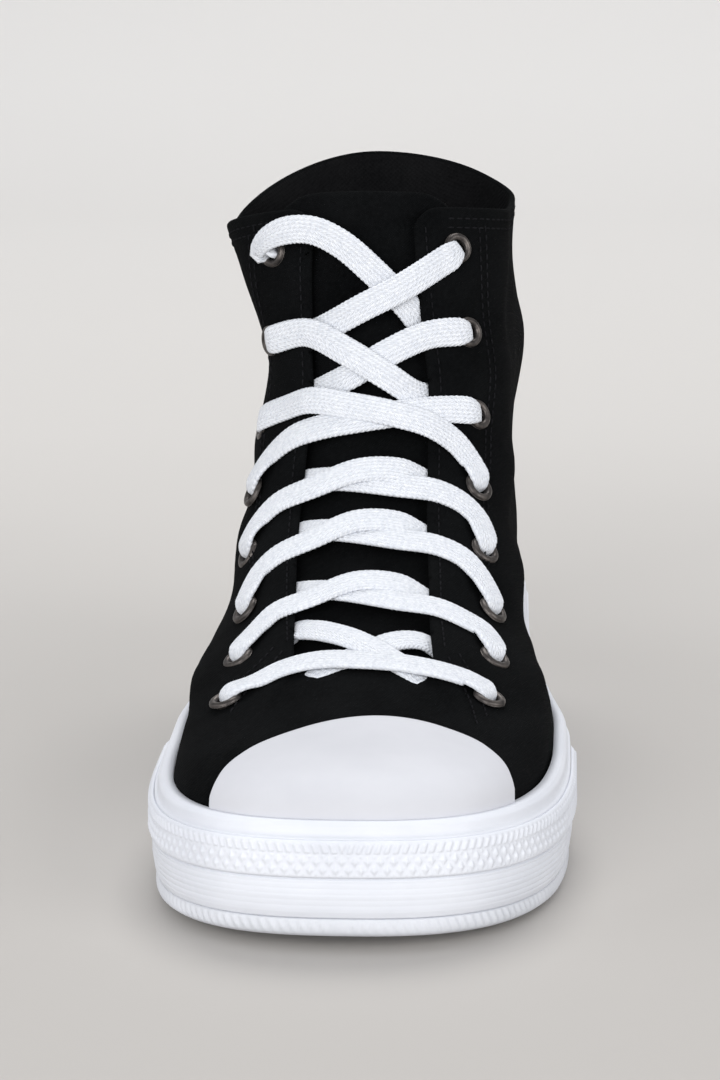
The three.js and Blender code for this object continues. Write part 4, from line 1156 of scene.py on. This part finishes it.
def tread(x, y, inset):
    """How far the underside is cut in: the grooves, and fine zigzags between them."""
    row = np.mod(y, GROOVE_PITCH)
    inside = ease((inset - GROOVE_MARGIN) / 1.2)
    wide = ease(row / 0.7) * ease((GROOVE_WIDTH - row) / 0.7) * inside
    lug = ease((row - GROOVE_WIDTH - 1) / 0.6) * ease((GROOVE_PITCH - 1 - row) / 0.6)
    zigzag = np.abs(np.mod(x / ZIGZAG_WIDTH, 1) - 0.5) * ZIGZAG_REACH
    lines = np.clip(0.3 + np.cos(2 * math.pi * (y + zigzag) / ZIGZAG_PITCH), 0, 1)
    return wide * GROOVE_DEPTH + lug * lines * FINE_TREAD_DEPTH * ease((inset - 4) / 2)


def make_outsole():
    angles = full_turn(OUTSOLE_COLUMNS)
    outline = rubber_point(angles, 1.0)
    flat = outline.copy()
    flat[:, 2] = 0
    lengths = run_lengths(flat)
    total = lengths[-1] + np.linalg.norm(flat[0] - flat[-1])
    count = round(total / EDGE_RIB_PITCH)
    rings = []
    lowest = rubber_point(angles, OUTSOLE_EDGE[0][1])
    centre = middle_line(lowest)
    for step in range(OUTSOLE_STEPS):
        share = step / OUTSOLE_STEPS
        ring = centre + (lowest - centre) * share
        inset = np.linalg.norm(lowest[:, :2] - ring[:, :2], axis=1)
        ring[:, 2] = underside(ring[:, 1]) + tread(ring[:, 0], ring[:, 1], inset)
        rings.append(ring)
    for up in (0.0, 0.06, 0.14, 0.22, 0.34, 0.46, 0.58, 0.7, 0.82, 0.9, 1.0):
        slanted = np.cos(2 * math.pi * (count * lengths / total + up * 0.9))
        band = ease((up - 0.1) / 0.2) * ease((0.95 - up) / 0.1)
        ribs = EDGE_RIB_DEPTH * np.clip(slanted + 0.2, -0.6, 1) * band
        ring = rubber_point(angles, outsole_edge(np.array(up)), ribs - 0.2 * (up > 0.1))
        low = underside(ring[:, 1])
        ring[:, 2] = low + (OUTSOLE_THICKNESS + spring_lift(ring[:, 1]) - low) * up
        rings.append(ring)
    foot = last_point(angles, 0 * angles)
    for height, share in ((OUTSOLE_THICKNESS, 1), (PLATFORM_HEIGHT, 1), (PLATFORM_HEIGHT, 0.5),
                          (PLATFORM_HEIGHT, 0.0)):
        middle = middle_line(foot)
        ring = middle + (foot - middle) * share
        ring[:, 2] = height + spring_lift(ring[:, 1])
        rings.append(ring)
    return make_piece("outsole_rubber", np.concatenate(rings), folded_faces(rings), [SOLE_RUBBER],
                      ["outsole"])


INSOLE_COLUMNS = 240


def make_insole():
    angles = full_turn(INSOLE_COLUMNS)
    bottom = PLATFORM_HEIGHT + GAP
    top = bottom + INSOLE_THICKNESS
    rings = []
    for height, inset, share in ((bottom, 2 * GAP, 0.0), (bottom, 2 * GAP, 1), (top - 0.8, GAP, 1),
                                 (top - 0.25, 2 * GAP, 1), (top, 4 * GAP, 1), (top, 4 * GAP, 0.97),
                                 (top - 0.2, 4 * GAP, 0.8), (top - 0.4, 4 * GAP, 0.4),
                                 (top - 0.4, 4 * GAP, 0)):
        ring = outline_point(angles, 0 * angles, np.full_like(angles, -CANVAS - inset))
        middle = middle_line(ring)
        ring = middle + (ring - middle) * share
        ring[:, 2] = height + spring_lift(ring[:, 1])
        rings.append(ring)
    return make_piece("insole_cotton", np.concatenate(rings), folded_faces(rings), [INSOLE_COTTON],
                      ["insole"])


# Eyelets

def make_eyelets():
    """Rolled rings with a barrel through the canvas and a washer behind it."""
    bottom = -CANVAS - EYELET_RISE
    profile = [(EYELET_HOLE, bottom), (EYELET_HOLE + 0.2, bottom - 0.25), (EYELET_FLANGE - 0.4, bottom)]
    profile += [(EYELET_FLANGE - 0.4, bottom + 0.3), (EYELET_BARREL, bottom + 0.5), (EYELET_BARREL, 0.2)]
    profile += [(EYELET_FLANGE, 0.25)]
    middle, reach = (EYELET_FLANGE + EYELET_HOLE) / 2, (EYELET_FLANGE - EYELET_HOLE) / 2
    for turn in np.linspace(-0.3, math.pi * 0.95, 8):
        profile.append((middle + reach * math.cos(turn), 0.45 + (EYELET_RISE + 0.15) * math.sin(turn)))
    profile.append((EYELET_HOLE, 0.1))
    sides = 28
    meshes = []
    for middle, axis in zip(*eyelet_spots()):
        first, second = across_axis(axis)
        turns = full_turn(sides)
        circle = first * np.cos(turns)[:, None] + second * np.sin(turns)[:, None]
        rings = [middle + circle * radius + axis * height for radius, height in profile]
        faces = grid_faces(len(rings) + 1, sides) % (len(rings) * sides)
        meshes.append((np.concatenate(rings), faces[:, ::-1]))
    points, faces = join(meshes)
    names = [f"eyelet_{side}_{i + 1}" for side in ("medial", "lateral") for i in range(EYELET_PAIRS)]
    return make_piece("eyelets_metal", points, faces, [EYELET_METAL], names)


# The lace. Each strip is a list of places: how far across the throat (inner side negative, the
# eyelets at about 28), the level (0 at the lowest pair, 7 at the top one) and the height over the
# canvas. "in" and "out" stand for a run through an eyelet.

OVER = 1.0  # a strip lying on the canvas
HIGH = 2.2  # a strip lying on another one
DIP = -2.5  # a strip passing the edge of the eyestay
UNDER = -3.0  # a strip under the eyestay
HOLE = 28.5  # how far across the eyelets lie


def lace_levels(across, level):
    """The level on the last at a level of the lacing, mixed between the two columns of eyelets."""
    pairs = np.arange(EYELET_PAIRS)
    share = np.clip((across / HOLE + 1) / 2, 0, 1)
    columns = []
    for side in (-1, 1):
        v = EYELETS[side][1]
        past = np.minimum(0, level) * (v[1] - v[0]) + np.maximum(0, level - pairs[-1]) * (v[-1] - v[-2])
        columns.append(np.interp(level, pairs, v) + past)
    return np.clip(columns[0] * (1 - share) + columns[1] * share, 0, 1)


def lace_spot(across, level, height):
    """A place of the lacing and the way the cloth faces there."""
    v = lace_levels(float(across), np.array([float(level)]))
    angle = front_angle(throat_middle(v) + float(across), v)
    normal = last_normal(angle, v)[0]
    return last_point(angle, v)[0] + normal * height, normal


# Three crossings run alike: out of one pair, over the tongue and under the far edge to the next pair.
ROUND_OVER = ((-HOLE, 0, "out"), (-28.6, 0.88, OVER), (-23.6, 1.28, OVER), (-13.8, 1.64, OVER),
              (-1, 1.88, HIGH), (10, 1.84, OVER), (15, 1.74, -1.0), (19, 1.62, DIP),
              (24, 1.40, UNDER), (HOLE, 1, "under"))
ROUND_UNDER = ((HOLE, 0, "out"), (30.2, 0.72, OVER), (26.4, 1.06, OVER), (19.8, 1.38, OVER),
               (9, 1.6, OVER), (-4.6, 1.8, 0.5), (-13, 1.86, -1.0), (-18, 1.86, DIP),
               (-23, 1.74, UNDER), (-HOLE, 1, "under"))


def higher(strip, pairs, rise=1.0):
    """The same crossing some pairs further up, with the share of its rise that it keeps."""
    return tuple((across, pairs + level * (1 if isinstance(kind, str) else rise), kind)
                 for across, level, kind in strip)


LACE_STRIPS = (
    # the bar over the foot of the throat, and the first crossing behind it
    ((HOLE, 0, "in"), (27.4, 0.78, OVER), (20.5, 1.2, OVER), (11, 1.52, OVER), (0, 1.66, OVER),
     (-12, 1.58, OVER), (-21, 1.24, OVER), (-27.2, 0.76, OVER), (-HOLE, 0, "in")),
    ((-HOLE, 0, "under"), (-23, 0.8, UNDER), (-13, 1.42, -1.2), (-1.3, 1.88, -0.9), (9, 2.07, -0.6),
     (15, 2.04, -1.2), (19, 1.92, DIP), (24, 1.6, UNDER), (HOLE, 1, "under")),
    ((HOLE, 0, "under"), (23, 0.8, UNDER), (12.3, 1.46, -0.5), (-1.3, 2.05, 0.5), (-10.4, 2.2, -0.3),
     (-15, 2.22, -1.2), (-19, 2.2, DIP), (-24, 1.9, UNDER), (-HOLE, 1, "under")),
    higher(ROUND_UNDER, 1),
    higher(ROUND_OVER, 1),
    higher(ROUND_UNDER, 2, 0.95),
    higher(ROUND_OVER, 2, 0.95),
    higher(ROUND_UNDER, 3, 0.8),
    higher(ROUND_OVER, 3, 0.8),
    # the crossing that goes into the sixth pair from outside
    ((-HOLE, 4, "out"), (-26.8, 4.66, OVER), (-20.9, 5.0, OVER), (-13, 5.13, OVER), (-2.3, 5.2, OVER),
     (10.2, 5.22, OVER), (19.7, 5.18, OVER), (HOLE, 5, "in")),
    ((HOLE, 4, "out"), (28.7, 4.36, OVER), (24, 4.7, OVER), (16.3, 5.01, HIGH), (7, 5.2, HIGH),
     (-6.1, 5.35, HIGH), (-15.7, 5.4, HIGH), (-23.5, 5.3, OVER), (-HOLE, 5, "in")),
    # crossings that come up between the eyestays and go into the next pair from outside
    ((-HOLE, 5, "under"), (-22, 5.42, UNDER), (-18, 5.52, DIP), (-13, 5.58, -1.0), (-6.2, 5.67, 0.4),
     (5.2, 5.88, OVER), (16.7, 6.03, OVER), (HOLE, 6, "in")),
    ((HOLE, 5, "under"), (21.5, 5.33, UNDER), (17.5, 5.39, DIP), (12, 5.46, -0.6), (4.7, 5.64, 1.7),
     (-5.6, 5.91, HIGH), (-16.6, 6.12, OVER), (-HOLE, 6, "in")),
    ((HOLE, 6, "under"), (20.5, 6.12, UNDER), (16.5, 6.18, DIP), (12, 6.38, -1.0), (2.8, 6.75, 0.2),
     (-6, 7.05, 2.2), (-13.5, 7.2, 3.8), (-20.6, 7.2, 4.9), (-26.2, 7.1, 4.6, 3.3),
     (-28.8, 6.98, 3.0, 2.7), (-HOLE, 7, "in")),
    ((-HOLE, 6, "under"), (-20.5, 6.1, UNDER), (-16.5, 6.14, DIP), (-11, 6.2, -0.5), (-0.9, 6.36, 2.0),
     (10.2, 6.56, HIGH), (21.7, 6.84, OVER), (HOLE, 7, "in")),
)
HOLE_HALF = 2.0  # half of the gathered strip's width inside an eyelet
HOLE_THICK = 1.9


def strip_places(strip):
    """A strip's control points with their facing, width and thickness."""
    places = []
    for i, (across, level, kind, *narrow) in enumerate(strip):
        if not isinstance(kind, str):
            point, normal = lace_spot(across, level, kind)
            places.append((point, normal, narrow[0] if narrow else LACE_WIDTH / 2, LACE_THICKNESS))
            continue
        side = -1 if across < 0 else 1
        angle, v = EYELETS[side][0][int(level)], EYELETS[side][1][int(level)]
        middle, axis = last_point(angle, v), last_normal(angle, v)
        inner = strip[i + 1] if i == 0 else strip[i - 1]
        loop = len(inner) > 3  # a loop drops into the eyelet from above
        if loop:
            inner = strip[i - 3]
        run = lace_spot(inner[0], inner[1], 0)[0] - middle
        run = unit(run - axis * (run @ axis))
        if kind == "under":
            steps = [(5.2, -CANVAS - 1.1, axis, LACE_WIDTH / 2, LACE_THICKNESS),
                     (2.4, -CANVAS - 1.5, unit(axis + run * 0.5), HOLE_HALF * 1.6, LACE_THICKNESS * 1.15),
                     (0.3, -CANVAS - 0.6, run, HOLE_HALF * 1.2, HOLE_THICK),
                     (0.0, -CANVAS / 2, run, HOLE_HALF, HOLE_THICK)]
        else:
            steps = [(4.6, EYELET_RISE + LACE_THICKNESS, axis, LACE_WIDTH / 2, LACE_THICKNESS),
                     (2.3, EYELET_RISE + 1.3, unit(axis - run * 0.45), HOLE_HALF * 1.7,
                      LACE_THICKNESS * 1.15),
                     (0.3, EYELET_RISE + 0.2, -run, HOLE_HALF * 1.25, HOLE_THICK),
                     (0.0, -CANVAS / 2, -run, HOLE_HALF, HOLE_THICK)]
        steps = [(middle + run * out + axis * height, facing, half, thick)
                 for out, height, facing, half, thick in steps[2 if loop else 0:]]
        places += steps[::-1] if i == 0 else steps
    return places


def spline(values, count):
    """A smooth curve through rows of numbers, by chord lengths between the first three columns."""
    values = np.array(values)
    steps = np.linalg.norm(np.diff(values[:, :3], axis=0), axis=1) ** 0.5 + 1e-6
    knots = np.concatenate([[0], np.cumsum(steps)])
    padded = np.vstack([2 * values[0] - values[1], values, 2 * values[-1] - values[-2]])
    times = np.concatenate([[knots[0] - steps[0]], knots, [knots[-1] + steps[-1]]])
    at = np.linspace(knots[0], knots[-1], count)
    i = np.clip(np.searchsorted(knots, at, side="right") - 1, 0, len(knots) - 2)
    time = [times[i + k][:, None] for k in range(4)]
    rows = [padded[i + k] for k in range(4)]
    t = at[:, None]
    for first, span in ((0, 1), (0, 2), (1, 1)):
        mixed = []
        for k, (p, q) in enumerate(zip(rows, rows[1:]), first):
            low, high = time[k], time[k + span]
            mixed.append((high - t) / (high - low) * p + (t - low) / (high - low) * q)
        rows = mixed
    return rows[0]


LACE_LEAST, LACE_STEP = 40, 0.6  # the fewest rings in a strip, and their distance
FRILL, LACE_CUP = 0.10, 0.12
LACE_SECTION = ((-1, 0.0), (-0.97, 0.34), (-0.86, 0.5), (-0.55, 0.47), (-0.2, 0.5), (0.2, 0.5),
                (0.55, 0.47), (0.86, 0.5), (0.97, 0.34), (1, 0.0), (0.97, -0.34), (0.86, -0.5),
                (0.4, -0.48), (0, -0.5), (-0.4, -0.48), (-0.86, -0.5), (-0.97, -0.34))


def strip_mesh(places, offset):
    """A ribbon along control points, with slightly uneven edges. Returns its lengths for the weave."""
    rows = [[*point, *facing, half, thick] for point, facing, half, thick in places]
    rough = spline(rows, 60)
    length = run_lengths(rough[:, :3])[-1]
    fine = spline(rows, 900)
    lengths = run_lengths(fine[:, :3])
    count = max(LACE_LEAST, int(length / LACE_STEP))
    targets = np.linspace(0, lengths[-1], count)
    path = np.stack([np.interp(targets, lengths, fine[:, k]) for k in range(fine.shape[1])], -1)
    points, facing = path[:, :3], path[:, 3:6]
    tangent = unit(np.gradient(points, axis=0))
    facing = unit(facing - tangent * (facing * tangent).sum(axis=1, keepdims=True))
    side = np.cross(tangent, facing)
    along = targets + offset
    rings = []
    for across, height in LACE_SECTION:
        phase = 2.0 if across < 0 else 0
        frill = FRILL * np.sin(2 * math.pi * along / THREAD_PITCH + phase) * (abs(across) > 0.9)
        cup = LACE_CUP * (across ** 2)
        rings.append(points + side * (across * path[:, 6:7] + np.sign(across) * frill[:, None])
                     + facing * ((height - cup) * path[:, 7:8]))
    grid = np.stack(rings, 1)
    n = len(LACE_SECTION)
    faces = grid_faces(count, n)
    start = np.arange(1, n - 1)
    low = np.stack([0 * start, start, start + 1, start + 1], -1)
    last = (count - 1) * n
    high = np.stack([0 * start + last, last + start + 1, last + start, last + start], -1)
    across = np.array([row[0] for row in LACE_SECTION]) * LACE_WIDTH / 2
    return (grid.reshape(-1, 3), np.concatenate([faces[:, ::-1], low[:, ::-1], high[:, ::-1]]),
            np.repeat(along, n), np.tile(across, count))


def make_lace():
    points, faces, along, across, count = [], [], [], [], 0
    for i, strip in enumerate(LACE_STRIPS):
        p, f, a, c = strip_mesh(strip_places(strip), i * 3.7)
        points.append(p)
        faces.append(f + count)
        along.append(a)
        across.append(c)
        count += len(p)
    names = ["lace_bar"] + [f"lace_crossing_{i + 1}" for i in range(EYELET_PAIRS - 1)]
    return make_piece("lace_flat", np.concatenate(points), np.concatenate(faces), [LACE_COTTON],
                      names,
                      numbers={"along": np.concatenate(along), "across": np.concatenate(across)})


# The camera, worked out from the photo's perspective: a long lens ahead of the toe, a little above

CAMERA_AT = (51.0, -875.0, 296.0)
PHOTO_WIDTH, PHOTO_HEIGHT = 720, 1080
PHOTO_FOCAL = 2100  # in pixels of the photo
PHOTO_PITCH = 11.9  # degrees
VIEW_CENTRE = (254, 562)  # the pixel of the photo that the view is centred on
VIEW_ENLARGED = 1.8
SENSOR = 36


def aim_camera():
    pitch = math.radians(PHOTO_PITCH)
    right = (VIEW_CENTRE[0] - PHOTO_WIDTH / 2) / PHOTO_FOCAL
    up = (PHOTO_HEIGHT / 2 - VIEW_CENTRE[1]) / PHOTO_FOCAL
    ahead = Vector((0, math.cos(pitch), -math.sin(pitch)))
    above = Vector((0, math.sin(pitch), math.cos(pitch)))
    look = ahead + above * up + Vector((1, 0, 0)) * right
    data = bpy.data.cameras.new("camera")
    data.sensor_width = SENSOR
    data.lens = PHOTO_FOCAL / PHOTO_HEIGHT * SENSOR * VIEW_ENLARGED
    data.clip_start, data.clip_end = 0.05, 20
    camera = bpy.data.objects.new("camera", data)
    camera.location = Vector(to_frame(CAMERA_AT).tolist())
    camera.rotation_euler = look.to_track_quat("-Z", "Y").to_euler()
    bpy.context.scene.collection.objects.link(camera)
    bpy.context.scene.camera = camera


# Floor and light

FLOOR_FRONT, FLOOR_BACK, FLOOR_HALF, BACKDROP_CURVE, BACKDROP_TOP = -3.0, 1.2, 4.0, 1.2, 4.0


def make_floor():
    """A pale floor that curves up into a backdrop behind the shoe."""
    profile = [(FLOOR_FRONT, 0.0), (FLOOR_BACK, 0.0)]
    profile += [(FLOOR_BACK + BACKDROP_CURVE * math.sin(t), BACKDROP_CURVE * (1 - math.cos(t)))
                for t in np.linspace(0.1, math.pi / 2, 12)]
    profile += [(FLOOR_BACK + BACKDROP_CURVE, BACKDROP_TOP)]
    points = [(x, y, z) for y, z in profile for x in (-FLOOR_HALF, FLOOR_HALF)]
    faces = [(2 * i, 2 * i + 1, 2 * i + 3, 2 * i + 2) for i in range(len(profile) - 1)]
    mesh = bpy.data.meshes.new("floor")
    mesh.from_pydata(points, [], faces)
    mesh.polygons.foreach_set("use_smooth", [True] * len(mesh.polygons))
    m = Nodes("floor_paper", 0.9, specular=0.2)
    # The colour is painted darker at the front and lighter towards the back, a painted light falloff
    # across the floor. The noise adds a faint uneven tone.
    tone = m.math("ADD", m.math("MULTIPLY", m.part("Y"), 0.5), m.math("MULTIPLY", m.noise(2.5, 3), 0.08))
    m.colour(m.ramp(tone, ((0.0, (0.53, 0.508, 0.482)), (0.3, (0.65, 0.63, 0.605)),
                           (0.8, (0.76, 0.745, 0.725)))))
    mesh.materials.append(m.material)
    floor = bpy.data.objects.new("floor", mesh)
    bpy.context.scene.collection.objects.link(floor)


def add_light(name, place, target, size, power, colour=(1, 1, 1)):
    data = bpy.data.lights.new(name, "AREA")
    data.shape = "DISK"
    data.size = size
    data.energy = power
    data.color = colour
    light = bpy.data.objects.new(name, data)
    light.location = place
    light.rotation_euler = (Vector(target) - Vector(place)).to_track_quat("-Z", "Y").to_euler()
    bpy.context.scene.collection.objects.link(light)


def light_scene():
    middle = (0.0, 0.0, 0.08)
    add_light("front", (-0.6, -2.2, 0.7), middle, 1.8, 32)
    add_light("fill", (1.7, -1.3, 0.6), middle, 1.8, 19)
    add_light("side", (-1.9, -0.6, 0.6), middle, 1.6, 7)
    add_light("top", (0.05, 0.9, 1.9), middle, 1.4, 22)
    world = bpy.data.worlds.new("studio")
    bpy.context.scene.world = world
    world.use_nodes = True
    background = world.node_tree.nodes["Background"]
    background.inputs["Color"].default_value = (0.93, 0.95, 1.0, 1)
    background.inputs["Strength"].default_value = 0.46
    bpy.context.scene.view_settings.view_transform = "Standard"


aim_camera()
make_floor()
light_scene()
make_upper()
make_stitches()
make_tongue()
make_toe_cap()
make_foxing()
make_bumper()
make_outsole()
make_insole()
make_eyelets()
make_lace()
